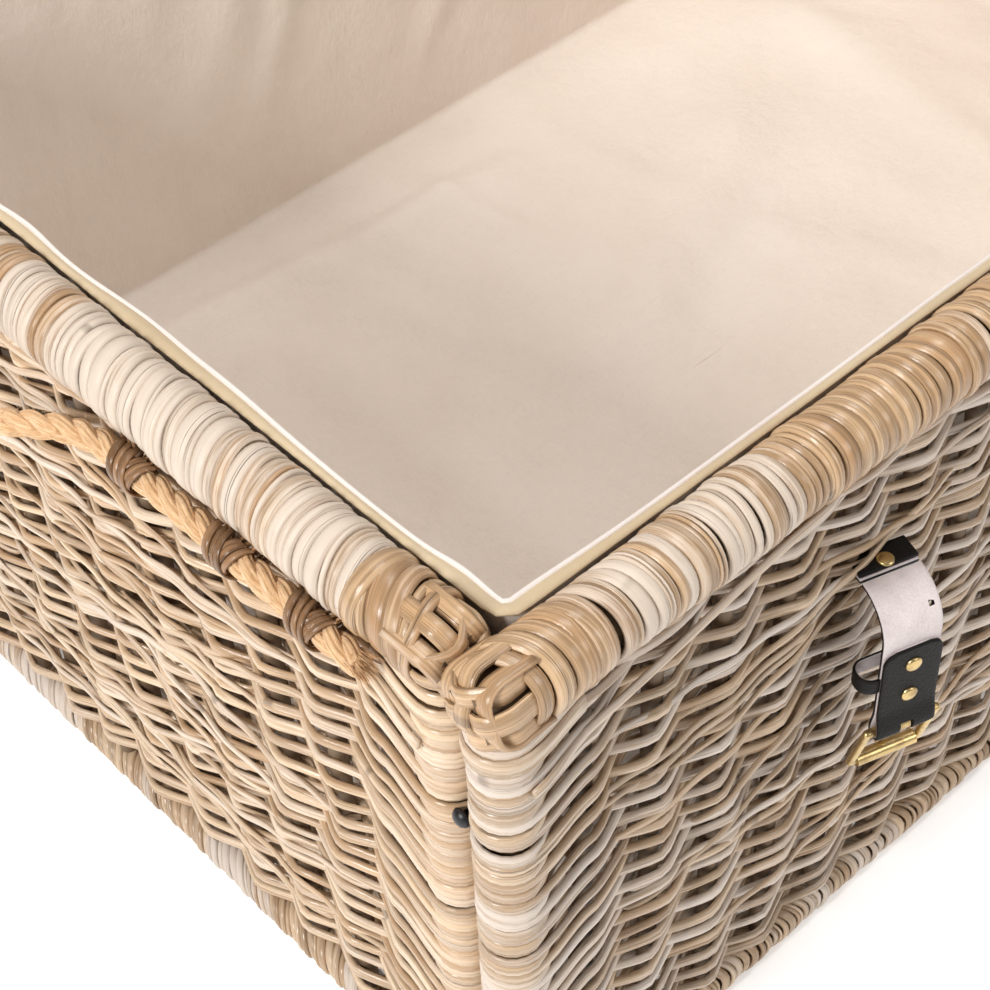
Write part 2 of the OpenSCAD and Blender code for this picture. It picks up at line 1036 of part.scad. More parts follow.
long_rim_poles();
short_rim_poles();
corner_posts();
front_rim_wrap();
back_rim_wrap();
left_rim_wrap();
right_rim_wrap();
front_stakes();
back_stakes();
left_stakes();
right_stakes();
front_weave();
back_weave();
left_weave();
right_weave();
front_base_rail();
back_base_rail();
left_base_rail();
right_base_rail();
corner_bolts();
floor_panel();
floor_battens();
liner();
left_rope_tails();
right_rope_tails();
left_rope_loop();
right_rope_loop();
left_lashings();
right_lashings();
left_strap_root();
right_strap_root();
root_rivets();
left_buckle_strap();
right_buckle_strap();
left_keeper();
right_keeper();
left_strap_rivets();
right_strap_rivets();
left_buckle_frame();
right_buckle_frame();
left_prong();
right_prong();
left_roller();
right_roller();
hinge_body_leaves();
hinge_lid_leaves();
hinge_pins();
lid_rim_poles();
lid_rim_wraps();
lid_stakes();
lid_weave();
lid_lining();
lid_strap_tabs();
lid_tab_rivets();
left_lid_strap();
right_lid_strap();
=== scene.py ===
"""Looks of the woven storage trunk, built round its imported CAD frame: every weaver, wrap and
rope strand is a swept strip of its own. Lengths are in metres."""

import json
import math

import bmesh
import bpy
import numpy as np
from mathutils import Matrix, Vector


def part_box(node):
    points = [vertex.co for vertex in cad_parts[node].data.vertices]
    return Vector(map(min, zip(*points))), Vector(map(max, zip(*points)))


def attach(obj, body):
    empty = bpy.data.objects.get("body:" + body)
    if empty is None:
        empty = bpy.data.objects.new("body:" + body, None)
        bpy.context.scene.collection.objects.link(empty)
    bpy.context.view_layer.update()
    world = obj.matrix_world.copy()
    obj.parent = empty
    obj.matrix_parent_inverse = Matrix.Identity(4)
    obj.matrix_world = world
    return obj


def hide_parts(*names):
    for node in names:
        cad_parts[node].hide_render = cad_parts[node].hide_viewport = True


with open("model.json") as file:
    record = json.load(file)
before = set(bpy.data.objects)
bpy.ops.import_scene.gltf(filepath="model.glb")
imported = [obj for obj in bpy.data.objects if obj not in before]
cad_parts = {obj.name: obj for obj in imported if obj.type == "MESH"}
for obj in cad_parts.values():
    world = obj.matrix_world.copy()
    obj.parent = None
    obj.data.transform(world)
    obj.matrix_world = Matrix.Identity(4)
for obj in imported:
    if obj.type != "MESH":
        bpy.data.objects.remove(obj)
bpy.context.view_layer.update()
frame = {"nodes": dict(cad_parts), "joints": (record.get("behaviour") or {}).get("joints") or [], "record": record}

MM = 0.001
rng = np.random.default_rng(11)
UP = np.array([0.0, 0.0, 1.0])
JOINTS = {j["name"]: j for j in frame["joints"]}

# Sizes that the frame's boxes don't state
STAKE_PITCH = 39 * MM
ROW_PITCH = 6.1 * MM
WEAVER_W = 6.9 * MM
WEAVER_T = 3.7 * MM
POST_BAND_W = 8.2 * MM
STRAP_W = 29 * MM
STRAP_T = 2.4 * MM
STRAP_HOLES = 5
HOLE_PITCH = 20 * MM
HOLE_R = 2.25 * MM


def box(node):
    """Lowest and highest corner of a CAD node as arrays."""
    lo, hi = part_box(node)
    return np.array(lo), np.array(hi)


def unit(v):
    return v / np.maximum(np.linalg.norm(v, axis=-1, keepdims=True), 1e-12)


def u_all(line):
    """Distance along a line at each of its points."""
    return np.concatenate([[0], np.cumsum(np.linalg.norm(np.diff(line, axis=0), axis=1))])


def smooth(t):
    t = np.clip(t, 0, 1)
    return t * t * (3 - 2 * t)


def wander(x, length, amount):
    """A smooth random wave along x, of about that wavelength and height."""
    total = np.zeros_like(x)
    for k in (1, 1.7, 2.9):
        total += np.sin(2 * math.pi * x * k / length + rng.uniform(0, 2 * math.pi)) / k
    return amount * total / 1.6


# ---------------------------------------------------------------- meshes


class Strands:
    """Many swept strips gathered into one mesh. Each point keeps its place along and across
    its strip in the attribute lay, and its strip's shade and whitewash in tint and wash."""

    def __init__(self):
        self.points, self.quads, self.caps = [], [], []
        self.values = {"lay": [], "tint": [], "wash": [], "face": []}
        self.total = 0

    def add(self, line, out, width, thick, tint=None, wash=0.5, sides=8, closed=False, square=2.3):
        """A strip along line, its thickness along out. square above 2 makes its section boxier."""
        line = np.asarray(line, float)
        n = len(line)
        if closed:
            tangent = np.roll(line, -1, 0) - np.roll(line, 1, 0)
        else:
            tangent = np.gradient(line, axis=0)
        tangent = unit(tangent)
        out = np.broadcast_to(np.asarray(out, float), line.shape)
        out = unit(out - (out * tangent).sum(1, keepdims=True) * tangent)
        side = np.cross(tangent, out)
        angle = 2 * math.pi * (np.arange(sides) + 0.5) / sides
        cx, cy = np.cos(angle), np.sin(angle)
        cx = np.sign(cx) * np.abs(cx) ** (2 / square)
        cy = np.sign(cy) * np.abs(cy) ** (2 / square)
        across = np.multiply.outer(np.broadcast_to(width, n) / 2, cx)
        height = np.multiply.outer(np.broadcast_to(thick, n) / 2, cy)
        points = line[:, None] + side[:, None] * across[..., None] + out[:, None] * height[..., None]
        self.points.append(points.reshape(-1, 3))
        seed = rng.uniform(0, 40)
        along = u_all(line)
        lay = np.stack([np.broadcast_to(along[:, None] + seed, across.shape), across + seed, height], -1)
        self.values["lay"].append(lay.reshape(-1, 3))
        shade = rng.uniform() if tint is None else tint
        self.values["tint"].append(np.full(n * sides, shade))
        self.values["wash"].append(np.repeat(np.broadcast_to(np.asarray(wash, float), n), sides))
        self.values["face"].append(np.tile(cy, n))
        ring = np.arange(n if closed else n - 1)
        a = (ring[:, None] * sides + np.arange(sides)) + self.total
        b = (ring[:, None] * sides + (np.arange(sides) + 1) % sides) + self.total
        step = np.where(ring + 1 < n, sides, sides - n * sides)[:, None]
        self.quads.append(np.stack([a, b, b + step, a + step], -1).reshape(-1, 4))
        if not closed:
            first = np.arange(sides)[::-1] + self.total
            self.caps += [first.tolist(), (first[::-1] + (n - 1) * sides).tolist()]
        self.total += n * sides

    def make(self, name, body, material, replaces=(), matrix=None):
        mesh = bpy.data.meshes.new(name)
        faces = np.concatenate(self.quads).tolist() + self.caps
        mesh.from_pydata(np.concatenate(self.points).tolist(), [], faces)
        for key, parts in self.values.items():
            kind = "FLOAT_VECTOR" if key == "lay" else "FLOAT"
            attribute = mesh.attributes.new(key, kind, "POINT")
            field = "vector" if key == "lay" else "value"
            attribute.data.foreach_set(field, np.concatenate(parts).astype(np.float32).ravel())
        if matrix is not None:
            mesh.transform(matrix)
        mesh.shade_smooth()
        return place(name, mesh, body, material, replaces)


def place(name, mesh, body, material, replaces=()):
    """A piece from a finished mesh, riding on its body."""
    piece = bpy.data.objects.new(name, mesh)
    bpy.context.scene.collection.objects.link(piece)
    mesh.materials.clear()
    mesh.materials.append(material)
    if replaces:
        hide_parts(*replaces)
    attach(piece, body)
    return piece


def grid_mesh(name, points, wrap_u=False, wrap_v=False, flip=False):
    """A mesh from a grid of points, closed in either direction if wanted."""
    nu, nv = points.shape[:2]
    i = np.arange(nu if wrap_u else nu - 1)
    j = np.arange(nv if wrap_v else nv - 1)
    i2, j2 = (i + 1) % nu, (j + 1) % nv
    quad = [i[:, None] * nv + j, i2[:, None] * nv + j, i2[:, None] * nv + j2, i[:, None] * nv + j2]
    quads = np.stack(np.broadcast_arrays(*quad), -1).reshape(-1, 4)
    if flip:
        quads = quads[:, ::-1]
    mesh = bpy.data.meshes.new(name)
    mesh.from_pydata(points.reshape(-1, 3).tolist(), [], quads.tolist())
    mesh.shade_smooth()
    return mesh


def lathe(profile, at, axis, turns=28):
    """Points of a turned shape: profile is a list of (radius, height along axis from at)."""
    axis = unit(np.asarray(axis, float))
    e1 = unit(np.cross(axis, [0.3, 0.5, 0.8]))
    e2 = np.cross(axis, e1)
    angle = 2 * math.pi * np.arange(turns) / turns
    around = np.cos(angle)[:, None] * e1 + np.sin(angle)[:, None] * e2
    rows = [np.asarray(at) + around * r + axis * h for r, h in profile]
    return np.stack(rows, 0)


def turned_piece(name, shapes, body, material, replaces=()):
    """One piece from several turned shapes, each (profile, at, axis)."""
    points, quads, total = [], [], 0
    for profile, at, axis in shapes:
        rows = lathe(profile, at, axis)
        nr, nt = rows.shape[:2]
        i, j = np.meshgrid(np.arange(nr - 1), np.arange(nt), indexing="ij")
        j2 = (j + 1) % nt
        q = np.stack([i * nt + j, i * nt + j2, (i + 1) * nt + j2, (i + 1) * nt + j], -1)
        quads += (q.reshape(-1, 4) + total).tolist()
        quads += [list(range(total, total + nt))[::-1]]
        quads += [list(range(total + (nr - 1) * nt, total + nr * nt))]
        points.append(rows.reshape(-1, 3))
        total += nr * nt
    mesh = bpy.data.meshes.new(name)
    mesh.from_pydata(np.concatenate(points).tolist(), [], quads)
    mesh.shade_smooth()
    return place(name, mesh, body, material, replaces)


# ---------------------------------------------------------------- materials


class Nodes:
    """Short words for the nodes of one procedural material."""

    def __init__(self, name):
        self.material = bpy.data.materials.new(name)
        self.material.use_nodes = True
        self.tree = self.material.node_tree
        self.shader = self.tree.nodes["Principled BSDF"]

    def node(self, kind, **inputs):
        made = self.tree.nodes.new(kind)
        for key, value in inputs.items():
            socket = made.inputs[key.replace("_", " ")]
            if isinstance(value, bpy.types.NodeSocket):
                self.tree.links.new(value, socket)
            else:
                socket.default_value = value
        return made

    def attribute(self, name):
        made = self.tree.nodes.new("ShaderNodeAttribute")
        made.attribute_name = name
        return made

    def coordinates(self):
        return self.tree.nodes.new("ShaderNodeTexCoord").outputs["Object"]

    def scaled(self, vector, scale):
        made = self.node("ShaderNodeMapping", Vector=vector)
        made.inputs["Scale"].default_value = scale
        return made.outputs[0]

    def noise(self, vector, scale, detail=3.0, rough=0.55):
        made = self.node("ShaderNodeTexNoise", Vector=vector, Scale=scale, Detail=detail, Roughness=rough)
        return made.outputs["Fac"]

    def ramp(self, value, *stops):
        made = self.node("ShaderNodeValToRGB", Fac=value)
        elements = made.color_ramp.elements
        while len(elements) < len(stops):
            elements.new(0.5)
        for element, (place_at, colour) in zip(elements, stops):
            element.position = place_at
            element.color = (*colour, 1) if len(colour) == 3 else colour
        return made.outputs["Color"]

    def mask(self, value, low, high):
        """0 below low, 1 above high."""
        made = self.node("ShaderNodeMapRange", Value=value)
        made.interpolation_type = "SMOOTHSTEP"
        made.inputs["From Min"].default_value = low
        made.inputs["From Max"].default_value = high
        return made.outputs["Result"]

    def math(self, operation, a, b=None):
        made = self.tree.nodes.new("ShaderNodeMath")
        made.operation = operation
        for socket, value in zip(made.inputs, (a, b)):
            if isinstance(value, bpy.types.NodeSocket):
                self.tree.links.new(value, socket)
            elif value is not None:
                socket.default_value = value
        return made.outputs[0]

    def mix(self, factor, a, b, blend="MIX"):
        made = self.tree.nodes.new("ShaderNodeMix")
        made.data_type, made.blend_type = "RGBA", blend
        for socket, value in zip([made.inputs[0], made.inputs[6], made.inputs[7]], (factor, a, b)):
            if isinstance(value, bpy.types.NodeSocket):
                self.tree.links.new(value, socket)
            else:
                socket.default_value = (*value, 1) if isinstance(value, tuple) else value
        return made.outputs[2]

    def bump(self, height, distance, strength=1.0):
        made = self.node("ShaderNodeBump", Height=height, Strength=strength, Distance=distance)
        if self.shader.inputs["Normal"].is_linked:
            self.tree.links.new(self.shader.inputs["Normal"].links[0].from_socket, made.inputs["Normal"])
        self.tree.links.new(made.outputs[0], self.shader.inputs["Normal"])

    def finish(self, colour, roughness, **fixed):
        self.tree.links.new(colour, self.shader.inputs["Base Color"])
        if isinstance(roughness, bpy.types.NodeSocket):
            self.tree.links.new(roughness, self.shader.inputs["Roughness"])
        else:
            self.shader.inputs["Roughness"].default_value = roughness
        for key, value in fixed.items():
            self.shader.inputs[key.replace("_", " ")].default_value = value
        return self.material


def cane(name, shades, wash_colour, wash_share, gloss, streaks=1.0):
    """Split cane: streaks and cracks along each strip, nodes, and whitewash left on it. streaks
    is how strongly the grain shows."""
    n = Nodes(name)
    lay = n.attribute("lay").outputs["Vector"]
    tint = n.attribute("tint").outputs["Fac"]
    wash = n.attribute("wash").outputs["Fac"]
    streak = n.noise(n.scaled(lay, (14, 520, 520)), 1.0, 5, 0.68)
    fine = n.noise(n.scaled(lay, (40, 2600, 2600)), 1.0, 3, 0.6)
    patch = n.noise(n.scaled(lay, (14, 60, 60)), 1.0, 3, 0.6)
    base = n.ramp(tint, (0.0, shades[0]), (0.35, shades[1]), (0.7, shades[2]), (1.0, shades[3]))
    dark_streak = tuple(0.5 * c for c in shades[1])
    tone = n.mix(n.math("MULTIPLY", n.mask(streak, 0.62, 0.40), streaks), base, dark_streak)
    tone = n.mix(n.math("MULTIPLY", n.mask(patch, 0.5, 0.75), 0.7), tone, shades[2])
    level = n.math("ADD", n.math("MULTIPLY", wash, wash_share), n.math("MULTIPLY", streak, 0.8))
    level = n.math("ADD", level, n.math("MULTIPLY", fine, 0.45))
    level = n.math("ADD", level, n.math("MULTIPLY", patch, 0.55))
    tone = n.mix(n.math("MULTIPLY", n.mask(level, 1.08, 1.38), 0.8), tone, wash_colour)
    crack = n.mask(n.noise(n.scaled(lay, (6, 1500, 1500)), 1.0, 2, 0.5), 0.66, 0.72)
    tone = n.mix(n.math("MULTIPLY", crack, 0.9 * streaks), tone, (0.06, 0.04, 0.028))
    node_ring = n.mask(n.noise(n.scaled(lay, (55, 3, 3)), 1.0, 1, 0.4), 0.74, 0.78)
    tone = n.mix(n.math("MULTIPLY", node_ring, 0.55), tone, (0.12, 0.08, 0.05))
    n.bump(streak, 0.0005, 0.15 + 0.6 * streaks)
    n.bump(crack, -0.0004, 0.8)
    rough = n.math("ADD", gloss, n.math("MULTIPLY", n.mask(level, 1.0, 1.4), 0.25))
    return n.finish(tone, rough, Specular_IOR_Level=0.5)


def bare_wood(name, light, dark, scale):
    n = Nodes(name)
    where = n.coordinates()
    grain = n.noise(n.scaled(where, scale), 1.0, 5, 0.6)
    tone = n.ramp(grain, (0.3, dark), (0.5, light), (0.75, tuple(0.8 * c for c in light)))
    n.bump(grain, 0.0004, 0.5)
    return n.finish(tone, n.math("ADD", 0.5, n.math("MULTIPLY", grain, 0.2)), Specular_IOR_Level=0.3)


def fabric(name, light, dark, creases=0.35, thread=1700.0):
    """Plain woven cloth with slubs, faint creases and soft blotches."""
    n = Nodes(name)
    where = n.coordinates()
    blotch = n.noise(where, 5.0, 4, 0.6)
    crease = n.noise(n.scaled(where, (14, 14, 9)), 1.0, 6, 0.62)
    slub = n.noise(n.scaled(where, (120, 700, 700)), 1.0, 3, 0.6)
    slub2 = n.noise(n.scaled(where, (700, 120, 120)), 1.0, 3, 0.6)
    threads = n.node("ShaderNodeTexChecker", Vector=where, Scale=thread).outputs["Fac"]
    tone = n.mix(n.mask(blotch, 0.3, 0.7), light, dark)
    tone = n.mix(n.math("MULTIPLY", n.mask(slub, 0.5, 0.8), 0.25), tone, tuple(0.86 * c for c in dark))
    bright = tuple(min(1, 1.06 * c) for c in light)
    tone = n.mix(n.math("MULTIPLY", n.mask(slub2, 0.5, 0.8), 0.2), tone, bright)
    n.bump(threads, 0.00012, 0.4)
    n.bump(n.math("ADD", slub, slub2), 0.0003, 0.5)
    n.bump(crease, 0.006, creases)
    return n.finish(tone, 0.88, Specular_IOR_Level=0.15, Sheen_Weight=0.15, Sheen_Roughness=0.5)


def rope_fibre():
    n = Nodes("jute_rope")
    lay = n.attribute("lay").outputs["Vector"]
    tint = n.attribute("tint").outputs["Fac"]
    fibre = n.noise(n.scaled(lay, (160, 2300, 2300)), 1.0, 5, 0.7)
    patch = n.noise(n.scaled(lay, (60, 300, 300)), 1.0, 3, 0.6)
    tone = n.ramp(fibre, (0.30, (0.40, 0.19, 0.07)), (0.45, (0.80, 0.48, 0.24)), (0.62, (0.97, 0.70, 0.43)))
    tone = n.mix(n.math("MULTIPLY", n.mask(patch, 0.5, 0.8), 0.4), tone, (1.0, 0.80, 0.54))
    tone = n.mix(n.math("MULTIPLY", tint, 0.35), tone, (0.62, 0.34, 0.14))
    n.bump(fibre, 0.0009, 0.9)
    return n.finish(tone, 0.78, Specular_IOR_Level=0.25, Sheen_Weight=0.2)


def leather(name):
    """Black grain on one face of the strap, pale suede on the other, dark raw edges."""
    n = Nodes(name)
    where = n.coordinates()
    side = n.attribute("face").outputs["Fac"]
    pebble = n.node("ShaderNodeTexVoronoi", Vector=where, Scale=850.0)
    pebble.feature = "SMOOTH_F1"
    nap = n.noise(where, 1400.0, 5, 0.7)
    cloud = n.noise(where, 60.0, 4, 0.6)
    scuff = n.mask(n.noise(n.scaled(where, (90, 300, 60)), 1.0, 4, 0.7), 0.66, 0.75)
    grain = n.mix(n.math("MULTIPLY", scuff, 0.25), (0.009, 0.008, 0.007), (0.05, 0.047, 0.044))
    suede = n.ramp(cloud, (0.3, (0.56, 0.49, 0.48)), (0.5, (0.68, 0.60, 0.585)), (0.72, (0.77, 0.69, 0.675)))
    suede = n.mix(n.math("MULTIPLY", n.mask(nap, 0.35, 0.7), 0.35), suede, (0.46, 0.39, 0.38))
    flesh = n.mask(side, 0.35, 0.75)
    n.bump(pebble.outputs["Distance"], 0.0005, 0.5)
    n.bump(nap, 0.0003, 0.5)
    rough = n.math("ADD", 0.52, n.math("MULTIPLY", flesh, 0.42))
    return n.finish(n.mix(flesh, grain, suede), rough, Specular_IOR_Level=0.13)


def metal(name, colour, dark, roughness, metallic):
    n = Nodes(name)
    where = n.coordinates()
    patina = n.noise(where, 160.0, 5, 0.65)
    brush = n.noise(n.scaled(where, (900, 140, 900)), 1.0, 3, 0.6)
    tone = n.mix(n.mask(patina, 0.42, 0.72), colour, dark)
    n.bump(brush, 0.0001, 0.5)
    rough = n.math("ADD", roughness, n.math("MULTIPLY", patina, 0.25))
    return n.finish(tone, rough, Metallic=metallic)


WHITEWASH = (0.66, 0.58, 0.51)
TAN = [(0.46, 0.285, 0.155), (0.64, 0.44, 0.27), (0.76, 0.57, 0.38), (0.53, 0.365, 0.235)]
# The tan shades darkened to about 0.82: painted shade for the walls away from the key light; the greyer whitewash
# on it is the cane's own
GREY_SHADED_TAN = [(0.37, 0.235, 0.135), (0.53, 0.365, 0.225), (0.63, 0.465, 0.31), (0.44, 0.315, 0.21)]
PEEL = [(0.40, 0.225, 0.11), (0.53, 0.325, 0.17), (0.62, 0.42, 0.245), (0.46, 0.295, 0.165)]
BROWN = [(0.20, 0.098, 0.042), (0.29, 0.15, 0.068), (0.36, 0.20, 0.10), (0.24, 0.125, 0.058)]

mat_weave = cane("cane_weave", TAN, (0.74, 0.63, 0.52), 0.42, 0.24, 0.45)
mat_grey_shaded = cane("cane_weave_grey_shaded", GREY_SHADED_TAN, WHITEWASH, 0.52, 0.24, 0.5)
mat_wrap = cane("cane_wrap", PEEL, (0.66, 0.57, 0.48), 0.6, 0.25, 0.8)
# The stakes: the tan cane darkened to 0.4, with a dark wash, as painted shade for the dark gaps between the
# weavers
mat_shaded_stake = cane("cane_stake", [tuple(0.4 * c for c in s) for s in TAN], (0.3, 0.25, 0.2), 0.1, 0.6)
mat_lash = cane("lashing_peel", BROWN, (0.55, 0.38, 0.24), 0.25, 0.2)
mat_pole = bare_wood("pole_wood", (0.16, 0.10, 0.055), (0.09, 0.055, 0.03), (6, 300, 300))
mat_pine = bare_wood("pine_wood", (0.62, 0.42, 0.20), (0.48, 0.29, 0.12), (220, 5, 220))
mat_linen = fabric("linen", (0.78, 0.69, 0.61), (0.73, 0.635, 0.55), 0.75)
mat_hem = fabric("linen_hem", (0.75, 0.68, 0.63), (0.69, 0.61, 0.56), 0.2)
# The liner cloth between hem and rim: a darker, yellower tan painted in for the shade in that gap
mat_flange_shade = fabric("linen_flange_shade", (0.60, 0.48, 0.32), (0.50, 0.38, 0.24), 0.2)
mat_rope = rope_fibre()
mat_leather = leather("black_leather")
mat_brass = metal("brass", (0.60, 0.44, 0.20), (0.33, 0.23, 0.11), 0.2, 1.0)
mat_iron = metal("black_iron", (0.018, 0.018, 0.02), (0.03, 0.028, 0.026), 0.25, 0.4)


# ---------------------------------------------------------------- woven panels


class Panel:
    """A woven panel: its rows run along, its stakes stand across them, and out is its face."""

    def __init__(self, origin, along, out, rise, half, low, high, gaps, post_r=0.0, depth=0.0):
        self.origin, self.along, self.out, self.rise = (
            np.asarray(v, float) for v in (origin, along, out, rise))
        self.half, self.low, self.high, self.gaps = half, low, high, gaps
        self.gap = 2 * half / gaps
        self.post_r, self.swing = post_r, depth / 2 - WEAVER_T / 2

    def at(self, u, n, z):
        u, n, z = np.broadcast_arrays(u, n, z)
        return self.origin + u[:, None] * self.along + n[:, None] * self.out + z[:, None] * self.rise

    def turn(self, end, side, z):
        """The way round a post, from the last stake on one side to a tuck on the other side."""
        r = self.post_r - WEAVER_T / 2
        reach = np.linspace(0, 1, 7)[1:-1]
        run_u = self.half - self.gap * (1 - reach)
        run_n = self.swing + (r - self.swing) * smooth(reach)
        arc = np.linspace(0, math.pi, 11)
        back = np.linspace(0, 1, 5)[1:]
        back_u = self.half - 0.66 * self.gap * back
        back_n = -r + (r - 0.4 * self.swing) * smooth(back)
        u = np.concatenate([run_u, self.half + r * np.sin(arc), back_u])
        n = np.concatenate([run_n, r * np.cos(arc), back_n])
        lift = np.concatenate([np.zeros(5), smooth(arc / math.pi), np.ones(4)])
        points = self.at(end * u, side * n, z + lift * rng.uniform(-1, 1) * 1.2 * MM)
        normal_u = np.concatenate([np.zeros(5), np.sin(arc), np.zeros(4)]) * end * side
        normal_n = np.concatenate([np.ones(5), np.cos(arc), -np.ones(4)])
        normals = normal_u[:, None] * self.along + normal_n[:, None] * self.out
        on_post = np.concatenate([smooth(reach), np.ones(11), 1 - smooth(back)])
        return points, normals, on_post

    def row(self, strands, index, z, per_gap, sides, wash):
        """One weaver in front of and behind the stakes in turn, made of a few lengths."""
        first = 1 if self.post_r else 0
        steps = (self.gaps - 2 * first) * per_gap
        k = np.linspace(first, self.gaps - first, steps + 1)
        u = -self.half + k * self.gap
        sign = 1 if index % 2 == 0 else -1
        bend = k + 0.10 * np.sin(z / 0.024 + u * 23) + 0.07 * np.sin(z / 0.0135 - u * 41)
        inside = smooth(np.minimum(k - first, self.gaps - first - k) * 1.5)
        wave = np.cos(math.pi * (k + (bend - k) * inside))
        wave = np.arcsin(0.97 * wave) / math.asin(0.97)
        n = sign * self.swing * wave * (1 + wander(u, 0.3, 0.05))
        sway = 2.8 * MM * np.sin(u / 0.11 + z * 17) + 1.5 * MM * np.sin(u / 0.043 - z * 29)
        level = z + sway + wander(u, 0.20, 1.7 * MM) + wander(u, 0.06, 0.45 * MM)
        line = self.at(u, n, np.clip(level, self.low + 2 * MM, self.high - 2 * MM))
        normals = np.broadcast_to(self.out, line.shape)
        on_post = np.zeros(len(line))
        if self.post_r:
            end_side = sign * (1 if (self.gaps - 1) % 2 == 0 else -1)
            a, an, ap = self.turn(-1, -sign, level[0])
            b, bn, bp = self.turn(1, end_side, level[-1])
            line = np.concatenate([a[::-1], line, b])
            normals = np.concatenate([an[::-1], normals, bn])
            on_post = np.concatenate([ap[::-1], on_post, bp])
            n = np.concatenate([np.full(len(a), 9.0), n, np.full(len(b), 9.0)])
        bulge = 0.84 + 0.16 * np.abs(n) / self.swing
        width = WEAVER_W * np.clip(bulge, 0.84, 1) * rng.uniform(0.6, 1.1)
        width = width * (1 + wander(u_all(line), 0.2, 0.12))
        width = width + on_post * (POST_BAND_W - WEAVER_W) * rng.uniform(0.7, 1.4)
        thick = WEAVER_T * rng.uniform(0.85, 1.1) - 0.6 * MM * on_post
        self.lengths(strands, line, normals, width, thick, n, sides, wash)

    def lengths(self, strands, line, normals, width, thick, n, sides, wash):
        """Cuts a row where it passes behind a stake, so that its colour changes there."""
        hidden = np.flatnonzero(n < -0.93 * self.swing)
        cuts, at = [0], 0
        while True:
            at += int(rng.uniform(55, 150))
            later = hidden[hidden > at]
            if not len(later) or later[0] > len(line) - 20:
                break
            at = later[0]
            cuts.append(at)
        cuts.append(len(line) - 1)
        for a, b in zip(cuts[:-1], cuts[1:]):
            part = slice(max(0, a - 1), b + 2)
            shade = rng.uniform()
            left = wash * rng.uniform(0.3, 1.5)
            if rng.uniform() < 0.16:
                side = unit(np.cross(np.gradient(line[part], axis=0), normals[part]))
                for e in (-1, 1):
                    strands.add(line[part] + side * e * width[part, None] / 4, normals[part],
                                width[part] * 0.56, thick[part] * 0.9, rng.uniform(), left, sides)
            else:
                strands.add(line[part], normals[part], width[part], thick[part], shade, left, sides)

    def strays(self, strands, count, sides):
        """Loose lengths that run slantwise over a few stakes and tuck in again."""
        for _ in range(count):
            span = rng.uniform(2.2, 5.6)
            start = rng.uniform(0.7, self.gaps - 0.7 - span)
            k = np.linspace(start, start + span, 40)
            t = (k - start) / span
            arch = np.clip(np.sin(math.pi * t), 0, 1)
            n = (self.swing + 2.6 * MM) * arch ** 0.35 - 2 * MM + 0.8 * MM * np.cos(2 * math.pi * k)
            drop = rng.choice([-1, 1, 1]) * rng.uniform(6, 44) * MM
            z = rng.uniform(self.low + 30 * MM, self.high - 30 * MM) + drop * smooth(t)
            line = self.at(-self.half + k * self.gap, n, z)
            width = rng.uniform(3.2, 5.4) * MM * (0.45 + 0.55 * arch ** 0.4)
            strands.add(line, self.out, width, rng.uniform(2.0, 2.8) * MM, None, rng.uniform(0.2, 1), sides)

    def waling(self, strands, level, sides):
        """Three rods twisted round the stakes under a rim, and one that climbs to it from a post."""
        u = np.linspace(-self.half, self.half, self.gaps * 6 + 1)
        k = (u + self.half) / self.gap
        for phase in range(3):
            n = self.swing * 0.55 + 4.6 * MM * np.cos(2 * math.pi * (k + phase) / 3)
            z = level - (1.5 + 3.2 * phase) * MM + wander(u, 0.4, 0.8 * MM)
            strands.add(self.at(u, n, z), self.out, 4.6 * MM, 3.4 * MM, None, 0.7, sides)
        for end in (-1, 1):
            t = np.linspace(0, 1, 30)
            u = end * (self.half - (1 - t[::-1]) * 0.19)
            n = self.swing + 2.2 * MM + (self.post_r - self.swing - 1 * MM) * smooth(1 - t * 5)
            z = level - 27 * MM + 24 * MM * smooth(t)
            strands.add(self.at(u, n - 6 * MM * smooth(t * 8 - 7), z), self.out,
                        5.4 * MM * (1 - 0.4 * smooth(t * 6 - 5)), 2.8 * MM, 0.6, 0.6, sides)
            for rank, face in ((0, 1), (1, -1)):
                points, normals, _ = self.turn(end, face, level - (7 + 9 * rank) * MM)
                strands.add(points + normals * 1.9 * MM, normals, 10.5 * MM, 2.2 * MM, 0.55, 0.5, sides)


def gap_count(half):
    return max(3, round(2 * half / STAKE_PITCH))


def wall_panel(name):
    lo, hi = box(name + "_weave")
    middle, size = (lo + hi) / 2, hi - lo
    long_wall = name in ("front", "back")
    post_r = (size[1] if long_wall else size[0]) / 2
    half = (size[0] if long_wall else size[1]) / 2 - post_r
    out = {"front": (0, -1, 0), "back": (0, 1, 0), "left": (-1, 0, 0), "right": (1, 0, 0)}[name]
    along = np.cross(UP, out)
    origin = (middle[0], middle[1], 0)
    return Panel(origin, along, out, UP, half, lo[2], hi[2], gap_count(half), post_r, WALL_T)


WALL_T = 18 * MM
LID_T = 16 * MM


def weave(panel, name, body, material, node, per_gap, sides, wash, strays, matrix=None, rows=None):
    strands = Strands()
    count = round((panel.high - panel.low) / ROW_PITCH)
    first, last = rows or (0, count)
    for index in range(first, last):
        z = panel.low + (index + 0.5) * (panel.high - panel.low) / count
        panel.row(strands, index, z + rng.normal() * 0.25 * MM, per_gap, sides, wash)
    panel.strays(strands, strays, 6)
    if panel.post_r:
        panel.waling(strands, panel.high, 6)
    return strands.make(name, body, material, node, matrix)


WALLS = {n: wall_panel(n) for n in ("front", "back", "left", "right")}
